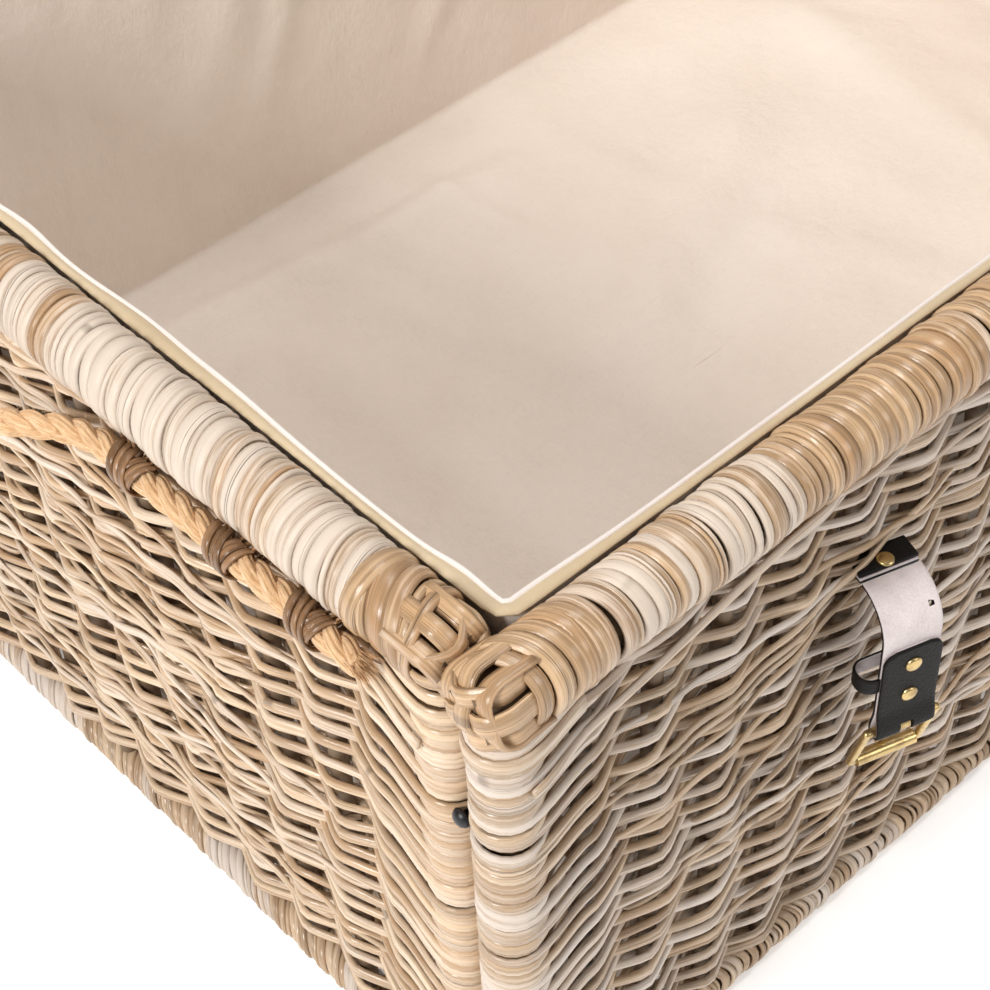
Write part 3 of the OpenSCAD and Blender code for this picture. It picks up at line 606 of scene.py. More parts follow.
# The front and back walls take the weave darkened as painted shade; left and right take the lighter tan
weave(WALLS["front"], "front_weavers", "trunk_body", mat_grey_shaded, ["front_weave"], 8, 8, 0.6, 62)
weave(WALLS["left"], "left_weavers", "trunk_body", mat_weave, ["left_weave"], 9, 8, 0.5, 56)
weave(WALLS["back"], "back_weavers", "trunk_body", mat_grey_shaded, ["back_weave"], 7, 6, 0.6, 50)
weave(WALLS["right"], "right_weavers", "trunk_body", mat_weave, ["right_weave"], 7, 6, 0.5, 40)


# ---------------------------------------------------------------- rims and rails


def ring_basis(direction):
    direction = unit(np.asarray(direction, float))
    e1 = np.array([0.0, 0.0, 1.0])
    return direction, e1, np.cross(direction, e1)


def wrap_bar(strands, a, b, radius, widths, tilt, thick, wash, sides=8, turns=30, seam=math.pi):
    """Peel wound round a bar from a to b, in bands of uneven width that slant a little. Each
    band is joined at the angle seam from the top, where it doesn't show."""
    a, b = np.asarray(a, float), np.asarray(b, float)
    direction, e1, e2 = ring_basis(b - a)
    length = np.linalg.norm(b - a)
    angle = seam + 2 * math.pi * np.arange(turns) / turns
    x, slant, dry = 0.0, tilt, wash
    while x < length:
        width = rng.uniform(*widths) if rng.uniform() < 0.75 else rng.uniform(0.5, 0.8) * widths[0]
        slant += rng.normal() * 0.05 + 0.25 * (tilt - slant)
        dry += rng.normal() * 0.22 + 0.15 * (wash - dry)
        turn = radius + rng.uniform(-0.9, 0.3) * MM - thick / 2
        shift = x + width / 2 + slant * radius * np.sin(angle + 0.4) + 0.25 * MM * np.sin(3 * angle + x * 90)
        round_bar = np.cos(angle)[:, None] * e1 + np.sin(angle)[:, None] * e2
        shift = np.clip(shift, 1.2 * MM, length - 1.2 * MM)
        line = a + shift[:, None] * direction + turn * round_bar
        strands.add(line, round_bar, width * 1.04 * math.cos(math.atan(slant)), thick, None,
                    np.clip(dry, 0, 1.3), sides, closed=True, square=2.15)
        x += width * rng.uniform(0.93, 1.03)


def cap(strands, end, outward, radius, reach, loops, spin, wash, swell=12 * MM):
    """Peel loops that close the end of a bar, woven over and under across its face."""
    outward, e1, e2 = ring_basis(outward)
    e1, e2 = (math.cos(spin) * e1 + math.sin(spin) * e2, math.cos(spin) * e2 - math.sin(spin) * e1)
    step = 2 * radius / (loops + 0.4)
    for lead, cross, flip in ((e1, e2, 0), (e2, e1, 1)):
        for i in range(loops):
            offset = (i - (loops - 1) / 2) * step
            r = math.sqrt(max(radius ** 2 - offset ** 2, (0.45 * radius) ** 2))
            phi = np.linspace(-math.pi / 2, math.pi / 2, 15)
            run = reach * (0.55 if flip else 1)
            start = np.linspace(1, 0, 4, endpoint=False)[:, None]
            turn = math.pi * (i + flip + (loops - 1) / 2)
            over = 1.3 * MM * np.cos(math.pi * r * np.sin(phi) / step + turn)
            dome = end + offset * cross + ((swell * r / radius + over) * np.cos(phi))[:, None] * outward
            dome = dome + ((r + over) * np.sin(phi))[:, None] * lead
            head = dome[0] - start * run * outward + start * 0.6 * MM * lead
            tail = dome[-1] - start[::-1] * run * outward - start[::-1] * 0.6 * MM * lead
            line = np.concatenate([head, dome, tail])
            middle = end - 0.6 * radius * outward + offset * cross
            out = unit(line - middle)
            out[:4], out[-4:] = -lead, lead
            strands.add(line, out, step * rng.uniform(0.92, 1.03), 3.0 * MM, rng.uniform(0.2, 0.8),
                        wash * rng.uniform(0.2, 0.8), 8, square=2.5)


def rim(strands, a, b, radius, wash, caps, seam=math.pi):
    """A wrapped rim: pale narrow wraps, then broad tan peel near each end, and its caps."""
    a, b = np.asarray(a, float), np.asarray(b, float)
    direction = unit(b - a)
    broad = 46 * MM
    wrap_bar(strands, a + direction * broad, b - direction * broad, radius, (3.6 * MM, 9.5 * MM),
             0.16, 3.4 * MM, wash, seam=seam)
    for end, inward in ((a, direction), (b, -direction)):
        wrap_bar(strands, end + inward * 15 * MM, end + inward * (broad + 3 * MM), radius + 0.5 * MM,
                 (7.5 * MM, 11 * MM), 0.3, 3.4 * MM, wash * 0.2, seam=seam)
        if caps:
            cap(strands, end + inward * 12 * MM, -inward, radius - 1.6 * MM, 16 * MM, 3, 0.35, wash * 0.6)


RIM_R = (box("front_rim_wrap")[1][2] - box("front_rim_wrap")[0][2]) / 2
RAIL_R = (box("front_base_rail")[1][2] - box("front_base_rail")[0][2]) / 2


def bar_ends(node):
    """Ends of a round bar's axis, from its box, and the axis's direction index."""
    lo, hi = box(node)
    axis = int(np.argmax((hi - lo)[:2]))
    a, b = (lo + hi) / 2, (lo + hi) / 2
    a[axis], b[axis] = lo[axis], hi[axis]
    return a, b


for side_name in WALLS:
    strands = Strands()
    a, b = bar_ends(side_name + "_rim_wrap")
    # The left rim carries more whitewash than the others: the cane's own whitewash, laid on more thickly as
    # painted light for the side the key light falls on
    rim(strands, a, b, RIM_R, 0.7 if side_name == "left" else 0.28, True)
    strands.make(side_name + "_rim_peel", "trunk_body", mat_wrap, [side_name + "_rim_wrap"])
    strands = Strands()
    a, b = bar_ends(side_name + "_base_rail")
    wrap_bar(strands, a, b, RAIL_R, (3.8 * MM, 6.5 * MM), 0.75, 2.6 * MM, 0.5, 8, 22)
    inward = unit(b - a) * 2 * MM
    for end, way in ((a, inward), (b, -inward)):
        cap(strands, end + way, -way, RAIL_R - 1.5 * MM, 6 * MM, 2, 0.4, 0.4, 1.5 * MM)
    strands.make(side_name + "_rail_cane", "trunk_body", mat_grey_shaded, [side_name + "_base_rail"])


# ---------------------------------------------------------------- lid

hinge = np.array(JOINTS["lid_hinge"]["pos_m"])
opened = -math.radians(JOINTS["lid_hinge"]["range_deg"][1])
LID_POSE = Matrix.Translation(hinge) @ Matrix.Rotation(opened, 4, "X") @ Matrix.Translation(-Vector(hinge))
rim_top = box("front_rim_wrap")[1][2]
lid_z = rim_top + 2 * (hinge[2] - rim_top) + RIM_R
xa = box("right_rim_wrap")[1][0] - RIM_R
ya = box("back_rim_wrap")[1][1] - RIM_R
lid_x, lid_y = xa - RIM_R - 0.2 * MM, ya - RIM_R - 0.2 * MM

lid_panel = Panel((0, 0, lid_z), (1, 0, 0), (0, 0, 1), (0, 1, 0), lid_x, -lid_y, lid_y,
                  gap_count(lid_x), 0, LID_T)
weave(lid_panel, "lid_weavers", "lid", mat_grey_shaded, ["lid_weave"], 6, 6, 0.6, 18, LID_POSE)

strands = Strands()
body_l = xa + RIM_R
short_l = lid_y
for s in (-1, 1):
    rim(strands, (-body_l, s * ya, lid_z), (body_l, s * ya, lid_z), RIM_R, 0.6, True, s * math.pi / 2)
strands.make("lid_long_rims", "lid", mat_wrap, ["lid_rim_wraps"], LID_POSE)
strands = Strands()
for s in (-1, 1):
    rim(strands, (s * xa, -short_l, lid_z), (s * xa, short_l, lid_z), RIM_R, 0.7, True, -s * math.pi / 2)
strands.make("lid_short_rims", "lid", mat_wrap, [], LID_POSE)


# ---------------------------------------------------------------- cloth


def rounded_loop(half_x, half_y, radius, count):
    """Points evenly spaced round a rectangle with round corners, their outward normals, and
    each one's distance round it."""
    sx, sy = half_x - radius, half_y - radius
    dense = []
    corners = [(sx, -sy, -90), (sx, sy, 0), (-sx, sy, 90), (-sx, -sy, 180)]
    for cx, cy, start in corners:
        for a in np.radians(np.linspace(start, start + 90, 16)):
            dense.append((cx + radius * math.cos(a), cy + radius * math.sin(a)))
    dense = np.array(dense + dense[:1])
    length = u_all(dense)
    at = np.linspace(0, length[-1], count, endpoint=False)
    points = np.stack([np.interp(at, length, dense[:, i]) for i in (0, 1)], -1)
    tangent = np.roll(points, -1, 0) - np.roll(points, 1, 0)
    normals = unit(np.stack([tangent[:, 1], -tangent[:, 0]], -1))
    return points, normals, at


def ridge(points, a, b, width, height):
    """Height of a soft fold that runs from a to b and fades out at its ends."""
    a, b = np.asarray(a, float), np.asarray(b, float)
    d = b - a
    t = ((points - a) @ d) / (d @ d)
    off = points - (a + np.clip(t, 0, 1)[..., None] * d)
    dist = np.linalg.norm(off, axis=-1)
    return height * np.exp(-((dist / width) ** 2)) * smooth(np.minimum(t, 1 - t) * 5 + 0.5)


def slack(flat, count, reach, lengths, widths, heights):
    """Height of many faint folds at random places, with widths and heights in millimetres."""
    total = np.zeros(flat.shape[:2])
    for _ in range(count):
        x, y = rng.uniform(-reach[0], reach[0]), rng.uniform(-reach[1], reach[1])
        angle, length = rng.uniform(0, math.pi), rng.uniform(*lengths)
        d = np.array([math.cos(angle), math.sin(angle)]) * length / 2
        total += ridge(flat, (x - d[0], y - d[1], 0), (x + d[0], y + d[1], 0),
                       rng.uniform(*widths) * MM, rng.uniform(*heights) * MM)
    return total


def liner():
    lo, hi = box("liner")
    hx, hy = hi[0], hi[1]
    radius, foot = 7 * MM, 6 * MM
    thick = 2 * MM
    loop, normal, round_at = rounded_loop(hx - 1.2 * MM, hy - 1.2 * MM, radius, 440)
    floor_z, top = lo[2] + 1 * MM, hi[2] - 1 * MM
    inner = np.linspace(0.02, 1, 34) ** 0.8
    rows = []
    edge = loop - normal * foot
    for t in inner:
        rows.append(np.concatenate([edge * t, np.full((len(loop), 1), floor_z)], 1))
    for a in np.radians(np.linspace(0, 90, 7)[1:]):
        rows.append(np.concatenate([edge + normal * foot * math.sin(a),
                                    np.full((len(loop), 1), floor_z + foot * (1 - math.cos(a)))], 1))
    for z in np.linspace(floor_z + foot, top, 34)[1:]:
        rows.append(np.concatenate([loop, np.full((len(loop), 1), z)], 1))
    skin = np.stack(rows)
    wall = smooth((skin[..., 2] - floor_z) / (22 * MM))
    height = (skin[..., 2] - floor_z) / (top - floor_z)
    inward = np.zeros_like(skin)
    inward[..., :2] = -normal * wall[..., None]
    inward[..., 2] = 1 - wall
    inward = unit(inward)
    push = np.zeros(skin.shape[:2])
    gather = np.zeros(len(loop))
    for _ in range(60):
        s0, w = rng.uniform(0, round_at[-1]), rng.uniform(6, 26) * MM
        gather += rng.uniform(0.4, 2.4) * MM * np.exp(-(((round_at - s0) / w) ** 2))
    push += gather[None, :] * smooth(height * 2.2 - 0.2) * wall
    for _ in range(34):
        s0, w = rng.uniform(0, round_at[-1]), rng.uniform(10, 40) * MM
        lean = rng.uniform(-0.5, 0.5)
        centre = s0 + lean * (skin[..., 2] - floor_z)
        fade = smooth(2.5 * height) * smooth(2.5 * (1 - height))
        push += rng.uniform(0.8, 4.6) * MM * np.exp(-(((round_at[None, :] - centre) / w) ** 2)) * fade * wall
    flat = skin.copy()
    flat[..., 2] = 0
    on_floor = 1 - wall
    for a, b, w, h in FLOOR_FOLDS:
        push += ridge(flat, (*a, 0), (*b, 0), w, h) * on_floor
    push += slack(flat, 40, (0.36, 0.24), (0.08, 0.34), (9, 34), (0.8, 3.6)) * on_floor
    inside = skin + inward * (push + thick / 2)[..., None]
    outside = skin + inward * (push * 0.9 - thick / 2)[..., None]
    shell = np.concatenate([inside, outside[::-1]])
    mesh = grid_mesh("liner_cloth", shell, wrap_u=False, wrap_v=True)
    close_ends(mesh, shell)
    cloth = place("liner_cloth", mesh, "trunk_body", mat_linen, ["liner"])
    band, flange_shade = hem(hx, hy, radius, hi[2])


def close_ends(mesh, shell):
    """Closes the small openings at the middle of the floor, where the rings end."""
    bm = bmesh.new()
    bm.from_mesh(mesh)
    bm.verts.ensure_lookup_table()
    count = shell.shape[1]
    for first in (0, (len(shell) - 1) * count):
        ring = [bm.verts[first + i] for i in range(count)]
        bm.faces.new(ring)
    bmesh.ops.recalc_face_normals(bm, faces=bm.faces)
    bm.to_mesh(mesh)
    bm.free()


# Folds across the floor of the liner, listed: from, to, half width, height
FLOOR_FOLDS = [
    ((-0.20, -0.22), (-0.17, 0.16), 20 * MM, 7 * MM),
    ((-0.26, 0.24), (0.05, 0.21), 14 * MM, 6 * MM),
    ((-0.05, 0.02), (0.20, 0.14), 26 * MM, 6 * MM),
    ((-0.12, -0.22), (0.10, -0.16), 18 * MM, 5 * MM),
    ((0.05, -0.20), (0.28, -0.04), 24 * MM, 5 * MM),
    ((0.26, -0.18), (0.30, 0.20), 18 * MM, 6 * MM),
]


def hem(half_x, half_y, radius, top):
    """The turned edge of the liner, thin and nearly flat, and the strip of liner cloth that runs
    from it to the rim, painted a darker, yellower tan for the shade in the gap between hem and rim."""
    loop, normal, at = rounded_loop(half_x - 2.4 * MM, half_y - 2.4 * MM, radius - 1.5 * MM, 560)
    wave = np.zeros(len(loop))
    lift = np.zeros(len(loop))
    for _ in range(34):
        s0, w = rng.uniform(0, at[-1]), rng.uniform(10, 46) * MM
        bell = np.exp(-(((at - s0) / w) ** 2))
        wave += rng.uniform(-0.4, 3.0) * MM * bell
        lift += rng.uniform(-1.2, 1.4) * MM * bell
    rings = []
    for k in range(16):
        a = 2 * math.pi * k / 16
        c, s = math.cos(a), math.sin(a)
        depth = 1.3 * MM * math.copysign(abs(c) ** 0.7, c)
        rise = 5.8 * MM * math.copysign(abs(s) ** 0.5, s)
        flat = loop + normal * (depth - wave * (0.6 + 0.4 * s))[:, None]
        z = top - 5.4 * MM + rise + lift * (1 if rise > 0 else 0.3)
        rings.append(np.concatenate([flat, z[:, None]], 1))
    mesh = grid_mesh("liner_hem", np.stack(rings), wrap_u=True, wrap_v=True, flip=True)
    band = place("liner_hem", mesh, "trunk_body", mat_hem)
    rings = []
    across = np.linspace(0, 1, 6)
    for side in (1, -1):
        for t in across[::side]:
            flat = loop + normal * ((0.4 + 4.4 * t) * MM - wave * (1 - t))[:, None]
            z = top + (-1.6 + 1.1 * math.sin(math.pi * t) + 0.9 * t + 0.45 * side) * MM + 0.5 * lift
            rings.append(np.concatenate([flat, z[:, None]], 1))
    # The cloth from the hem to the rim, in the painted-shade tan
    mesh = grid_mesh("liner_flange_shade", np.stack(rings), wrap_u=True, wrap_v=True)
    return band, place("liner_flange_shade", mesh, "trunk_body", mat_flange_shade)


def lid_cloth():
    """The lid's lining, stretched under its weave, with a few slack ripples."""
    edge, drop = 1 * MM, LID_T / 2 + 0.2 * MM
    x = np.linspace(-lid_x + edge, lid_x - edge, 150)
    y = np.linspace(-lid_y + edge, lid_y - edge, 110)
    gx, gy = np.meshgrid(x, y, indexing="ij")
    flat = np.stack([gx, gy, np.zeros_like(gx)], -1)
    sag = slack(flat, 40, (0.36, 0.25), (0.06, 0.34), (10, 34), (0.4, 2.0))
    inset = np.minimum(lid_x - edge - np.abs(gx), lid_y - edge - np.abs(gy))
    sag = sag * smooth(inset / (40 * MM))
    top = flat + np.array([0, 0, lid_z - drop]) - sag[..., None] * [0, 0, 1]
    low = top - np.array([0, 0, 1.6 * MM])
    shell = np.concatenate([top, low[::-1]])
    mesh = grid_mesh("lid_cloth", shell, wrap_u=True)
    bm = bmesh.new()
    bm.from_mesh(mesh)
    bm.verts.ensure_lookup_table()
    nx, ny = gx.shape
    for j in (0, ny - 1):
        for i in range(nx - 1):
            a, b = i * ny + j, (i + 1) * ny + j
            c, d = (2 * nx - 2 - i) * ny + j, (2 * nx - 1 - i) * ny + j
            bm.faces.new([bm.verts[v] for v in ((a, b, c, d) if j else (d, c, b, a))])
    bmesh.ops.recalc_face_normals(bm, faces=bm.faces)
    bm.to_mesh(mesh)
    bm.free()
    mesh.transform(LID_POSE)
    cloth = place("lid_cloth", mesh, "lid", mat_linen, ["lid_lining"])


liner()
lid_cloth()


# ---------------------------------------------------------------- rope handles

ROPE_R = (box("left_rope_tails")[1][0] - box("left_rope_tails")[0][0]) / 2
LAY_LENGTH = 3.1 * 2 * ROPE_R
YARNS = 7
ROPE_EASE = 1.35  # how stiffly the free span leaves its lashings, as in the frame


def rope(strands, line, out, start=0.0):
    """Three strands laid round each other along line, each of a few yarns, with loose hairs."""
    line = np.asarray(line, float)
    along = u_all(line)
    tangent = unit(np.gradient(line, axis=0))
    side = unit(np.cross(tangent, out))
    out = np.cross(side, tangent)
    core = ROPE_R * 0.47
    yarn_r = 0.95 * MM
    for k in range(3):
        a = 2 * math.pi * ((along + start) / LAY_LENGTH + k / 3)
        around = np.cos(a)[:, None] * out + np.sin(a)[:, None] * side
        across = np.cross(tangent, around)
        middle = line + core * around
        strands.add(middle, around, 2 * (ROPE_R - core) * 0.92, 2 * (ROPE_R - core) * 0.86,
                    0.9, 0, 10, square=2.0)
        for j in range(YARNS):
            b = 2 * math.pi * (j / YARNS - (along + start) / (0.85 * LAY_LENGTH))
            away = np.cos(b)[:, None] * around + 1.1 * np.sin(b)[:, None] * across
            yarn = middle + (ROPE_R - core - yarn_r) * away
            strands.add(yarn, away, 2.5 * yarn_r, 2 * yarn_r, rng.uniform(0, 0.8), 0, 6, square=2.0)
    for _ in range(int(along[-1] / (1.1 * MM))):
        i = rng.integers(1, len(line) - 2)
        a = rng.uniform(0, 2 * math.pi)
        away = math.cos(a) * out[i] + math.sin(a) * side[i]
        lean = tangent[i] * rng.uniform(-1, 1) + away * rng.uniform(0.1, 0.7)
        t = np.linspace(0, 1, 5)[:, None]
        curl = np.cross(away, tangent[i]) * rng.uniform(-1, 1)
        path = line[i] + away * (ROPE_R - 0.9 * MM) + (lean * t + curl * t * t * 0.6) * rng.uniform(2, 6) * MM
        strands.add(path, away, 0.24 * MM * (1.2 - t[:, 0]), 0.22 * MM, rng.uniform(), 0, 3)


def frayed_end(strands, tip, direction, out):
    """A cut rope end whose three strands open into fibres."""
    direction, out = np.asarray(direction, float), np.asarray(out, float)
    side = np.cross(direction, out)
    for _ in range(170):
        a, r = rng.uniform(0, 2 * math.pi), ROPE_R * math.sqrt(rng.uniform(0, 0.9))
        away = math.cos(a) * out + math.sin(a) * side
        length = rng.uniform(4, 11) * MM
        t = np.linspace(0, 1, 6)[:, None]
        splay = away * (r / ROPE_R) * rng.uniform(0.1, 0.6) - UP * rng.uniform(0, 0.25)
        path = tip + away * r * 0.9 + direction * (t * length - 4 * MM) + splay * t ** 2 * length * 0.6
        strands.add(path, away, 0.9 * MM * (1.15 - t[:, 0]), 0.7 * MM * (1.15 - t[:, 0]), rng.uniform(), 0, 4)


def lashing(strands, centre, inward, run):
    """Crossed bands of brown peel round the rope, drawn up under the rim and into the weave."""
    r = ROPE_R + 1.2 * MM
    arc = np.linspace(-2.15, 2.15, 17)
    outer = np.stack([-np.cos(arc) * r, np.sin(arc) * r], -1)
    leg = np.linspace(0, 1, 6)[1:, None]
    low, high = np.array([13, -3]) * MM, np.array([6, 12]) * MM
    path = np.concatenate([(1 - leg[::-1]) * outer[0] + leg[::-1] * low, outer,
                           (1 - leg) * outer[-1] + leg * high])
    turn = np.linspace(-1, 1, len(path))
    for slant in (-1, 1):
        for strip in (-1, 0, 1):
            lift = 1 + (0.14 if slant > 0 else 0.0) * np.cos(turn * math.pi / 2)
            shift = slant * (9.5 * turn + 1.2) * MM + (strip * 3.6 + 0.5 * rng.normal()) * MM
            line = centre + path[:, :1] * lift[:, None] * inward + path[:, 1:] * lift[:, None] * UP
            line = line + shift[:, None] * run
            out = unit(path)
            out = out[:, :1] * inward + out[:, 1:] * UP
            strands.add(line, out, rng.uniform(3.0, 4.1) * MM, 1.4 * MM, None, 0.25, 8, square=2.4)


def rope_handle(side_name, s):
    hi = box(side_name + "_rope_tails")[1]
    pivot = np.array(JOINTS[side_name + "_rope_swing"]["pos_m"])
    loop_lo, loop_hi = box(side_name + "_rope_loop")
    half, end = loop_hi[1], hi[1]
    out = np.array([s, 0.0, 0.0])
    bow_out = max(loop_hi[0], -loop_lo[0]) - abs(pivot[0]) - ROPE_R
    bow_down = pivot[2] - ROPE_R - loop_lo[2]
    y = np.linspace(-half, half, 150)
    fall = ((1 + np.cos(math.pi * y / half)) / 2) ** ROPE_EASE
    hang = np.stack([pivot[0] + s * bow_out * fall, y, pivot[2] - bow_down * fall], -1)
    strands = Strands()
    rope(strands, hang, out)
    loop = strands.make(side_name + "_handle_rope", side_name + "_rope", mat_rope,
                        [side_name + "_rope_loop"])
    length = float(u_all(hang)[-1])
    strands = Strands()
    for e in (-1, 1):
        y = np.linspace(half, end - 4 * MM, 100) * e
        tail = np.stack([np.full_like(y, pivot[0]), y, np.full_like(y, pivot[2])], -1)
        rope(strands, tail, out, length if e > 0 else 0.0)
        frayed_end(strands, tail[-1], np.array([0.0, e, 0.0]), out)
    strands.make(side_name + "_rope_ends", "trunk_body", mat_rope, [side_name + "_rope_tails"])
    strands = Strands()
    first, last = half + 8 * MM, end - 32 * MM
    for e in (-1, 1):
        for y in (first, first + 0.55 * (last - first), last):
            lashing(strands, np.array([pivot[0], e * y, pivot[2]]), -out, np.array([0.0, 1.0, 0.0]))
    strands.make(side_name + "_peel_lashings", "trunk_body", mat_lash,
                 [side_name + "_lashings"])


for side_name, s in (("left", -1), ("right", 1)):
    rope_handle(side_name, s)


# ---------------------------------------------------------------- straps


class StrapFrame:
    """One strap's own axes: x across it, y into the wall, z up, origin at the bend."""

    def __init__(self, side_name):
        joint = JOINTS[side_name + "_strap_flex"]
        self.origin, self.x = np.array(joint["pos_m"]), unit(np.array(joint["axis"]))
        self.y = np.cross(UP, self.x)
        tilt = np.array(JOINTS[side_name + "_buckle_tilt"]["pos_m"]) - self.origin
        self.mid_y, self.fold_z = float(tilt @ self.y), float(tilt[2])
        self.bend_r = -self.mid_y - STRAP_T / 2

    def at(self, x, y, z):
        x, y, z = np.broadcast_arrays(x, y, z)
        return self.origin + x[..., None] * self.x + y[..., None] * self.y + z[..., None] * UP


def ribbon(strands, strap, path, width=STRAP_W, thick=STRAP_T, flesh=1, taper=None):
    """Leather along a path of (y, z) points. flesh is 1 where the pale side is on its left."""
    path = np.asarray(path, float)
    d = unit(np.gradient(path, axis=0))
    line = strap.at(np.zeros(len(path)), path[:, 0], path[:, 1])
    out = d[:, 1:] * strap.y - d[:, :1] * UP
    out = out * -1 if flesh > 0 else out
    w = width if taper is None else width * taper
    strands.add(line, out, w, thick, 0.5, 0, 20, square=7)


def buckle_strap(side_name):
    strap = StrapFrame(side_name)
    r, t = strap.bend_r, STRAP_T
    arc = np.linspace(0, math.pi / 2, 22)
    down = np.stack([-r * np.sin(arc), -r + r * np.cos(arc)], -1)
    fold = 3.25 * MM
    join = strap.fold_z + 14 * MM
    straight = np.stack([np.full(14, -r), np.linspace(-r, join, 14)], -1)
    ease = smooth(np.linspace(0, 1, 7)[1:-1])
    lead = np.stack([-r + ease * (strap.mid_y + fold + r), np.linspace(join, strap.fold_z, 7)[1:-1]], -1)
    turn = np.linspace(0, math.pi, 14)
    round_bar = np.stack([strap.mid_y + fold * np.cos(turn), strap.fold_z - fold * np.sin(turn)], -1)
    flap_y = strap.mid_y - t / 2
    leave = np.stack([strap.mid_y - fold + ease * (flap_y - strap.mid_y + fold),
                      np.linspace(strap.fold_z, join, 7)[1:-1]], -1)
    flap_top = -r - 4 * MM
    flap = np.stack([np.full(14, flap_y), np.linspace(join, flap_top, 14)], -1)
    path = np.concatenate([down, straight[1:], lead, round_bar, leave, flap])
    steps = u_all(path)
    even = np.linspace(0, steps[-1], 150)
    path = np.stack([np.interp(even, steps, path[:, i]) for i in (0, 1)], -1)
    left = steps[-1] - even
    corner = 6 * MM
    to_end = np.clip(left / corner, 0, 1)
    rounded = np.sqrt(np.clip(1 - (1 - to_end) ** 2, 0, 1))
    taper = 1 - (2 * corner / STRAP_W) * (1 - rounded)
    strands = Strands()
    ribbon(strands, strap, path, flesh=-1, taper=taper)
    piece = strands.make(side_name + "_strap_leather", side_name + "_strap", mat_leather,
                         [side_name + "_buckle_strap"])
    cut(piece, strap, 0.0, strap.mid_y, strap.fold_z - 3 * MM, 7 * MM, 20 * MM, 14 * MM)
    punch(piece, strap.at(10.0 * MM, -r * math.sin(0.9), -r + r * math.cos(0.9)), UP - strap.y, 2.4 * MM)

    flap_mid = (flap_top - 10 * MM + join + 8 * MM) / 2
    strands = Strands()
    half_w, back, front = STRAP_W / 2 + 4.2 * MM, strap.mid_y + t + 11 * MM, strap.mid_y + 0.6 * MM
    outward = 3.0 * MM * (-1 if side_name == "left" else 1)
    loop = rounded_rectangle(half_w, (back - front) / 2, 0.94 * (back - front) / 2)
    line = strap.at(loop[:, 0] + outward, loop[:, 1] + (back + front) / 2, np.full(len(loop), flap_mid))
    centre = strap.at(outward, (back + front) / 2, flap_mid)
    inner = -unit(line - centre)
    strands.add(line, inner, 8.6 * MM, 1.7 * MM, 0.5, 0, 16, closed=True, square=6)
    strands.make(side_name + "_keeper_loop", side_name + "_strap", mat_leather,
                 [side_name + "_keeper"])

    head = [(0.2 * MM, 1.5 * MM), (2.4 * MM, 1.35 * MM), (3.6 * MM, 0.95 * MM), (4.1 * MM, 0.3 * MM),
            (4.0 * MM, -0.2 * MM), (0.2 * MM, -0.2 * MM)]
    shapes = []
    for z in (flap_top - 10 * MM, join + 8 * MM):
        shapes.append((head, strap.at(0.0, strap.mid_y - t, z), -strap.y))
        shapes.append((head, strap.at(0.0, strap.mid_y + t, z), strap.y))
    turned_piece(side_name + "_brass_rivets", shapes, side_name + "_strap", mat_brass,
                 [side_name + "_strap_rivets"])
    root(side_name, strap)
    return (head, strap.at(0.0, 5.5 * MM, 1.5 * STRAP_T), UP)


def rounded_rectangle(hx, hy, radius):
    points, _, _ = rounded_loop(hx, hy, radius, 56)
    return points


def cut(piece, strap, x, y, z, w, d, h):
    """Cuts a box-shaped slot out of a piece, at a place and of a size in the strap's axes."""
    corners = [strap.at(x + a * w / 2, y + b * d / 2, z + c * h / 2)
               for a in (-1, 1) for b in (-1, 1) for c in (-1, 1)]
    faces = [(0, 1, 3, 2), (4, 6, 7, 5), (0, 4, 5, 1), (2, 3, 7, 6), (0, 2, 6, 4), (1, 5, 7, 3)]
    mesh = bpy.data.meshes.new("cutter")
    mesh.from_pydata([tuple(c) for c in corners], [], faces)
    subtract(piece, mesh)


def punch(piece, centre, axis, diameter):
    """Punches a round hole."""
    rows = lathe([(diameter / 2, -6 * MM), (diameter / 2, 6 * MM)], centre, axis, 20)
    nt = rows.shape[1]
    faces = [(i, (i + 1) % nt, nt + (i + 1) % nt, nt + i) for i in range(nt)]
    faces += [tuple(range(nt))[::-1], tuple(range(nt, 2 * nt))]
    mesh = bpy.data.meshes.new("cutter")
    mesh.from_pydata(rows.reshape(-1, 3).tolist(), [], faces)
    subtract(piece, mesh)


def subtract(piece, mesh):
    """Takes a closed mesh away from a piece, for good."""
    cutter = bpy.data.objects.new("cutter", mesh)
    bpy.context.scene.collection.objects.link(cutter)
    modifier = piece.modifiers.new("cut", "BOOLEAN")
    modifier.operation, modifier.object, modifier.solver = "DIFFERENCE", cutter, "EXACT"
    bpy.context.view_layer.update()
    graph = bpy.context.evaluated_depsgraph_get()
    result = bpy.data.meshes.new_from_object(piece.evaluated_get(graph))
    piece.modifiers.clear()
    result.set_sharp_from_angle(angle=math.radians(38))
    piece.data = result
    bpy.data.objects.remove(cutter)


def root(side_name, strap):
    """The two layers that come out of the wall: the strap, and a black tab riveted on top."""
    strands = Strands()
    deep = 14 * MM
    inner = np.stack([np.linspace(deep, 1.55 * MM, 12), np.zeros(12)], -1)
    ribbon(strands, strap, inner, flesh=-1)
    tab = np.stack([np.linspace(deep, 2.2 * MM, 12), np.full(12, STRAP_T)], -1)
    ribbon(strands, strap, tab, flesh=1)
    strands.make(side_name + "_root_leather", "trunk_body", mat_leather,
                 [side_name + "_strap_root"])


root_heads = [buckle_strap(n) for n in ("left", "right")]
turned_piece("root_brass_rivets", root_heads, "trunk_body", mat_brass, ["root_rivets"])


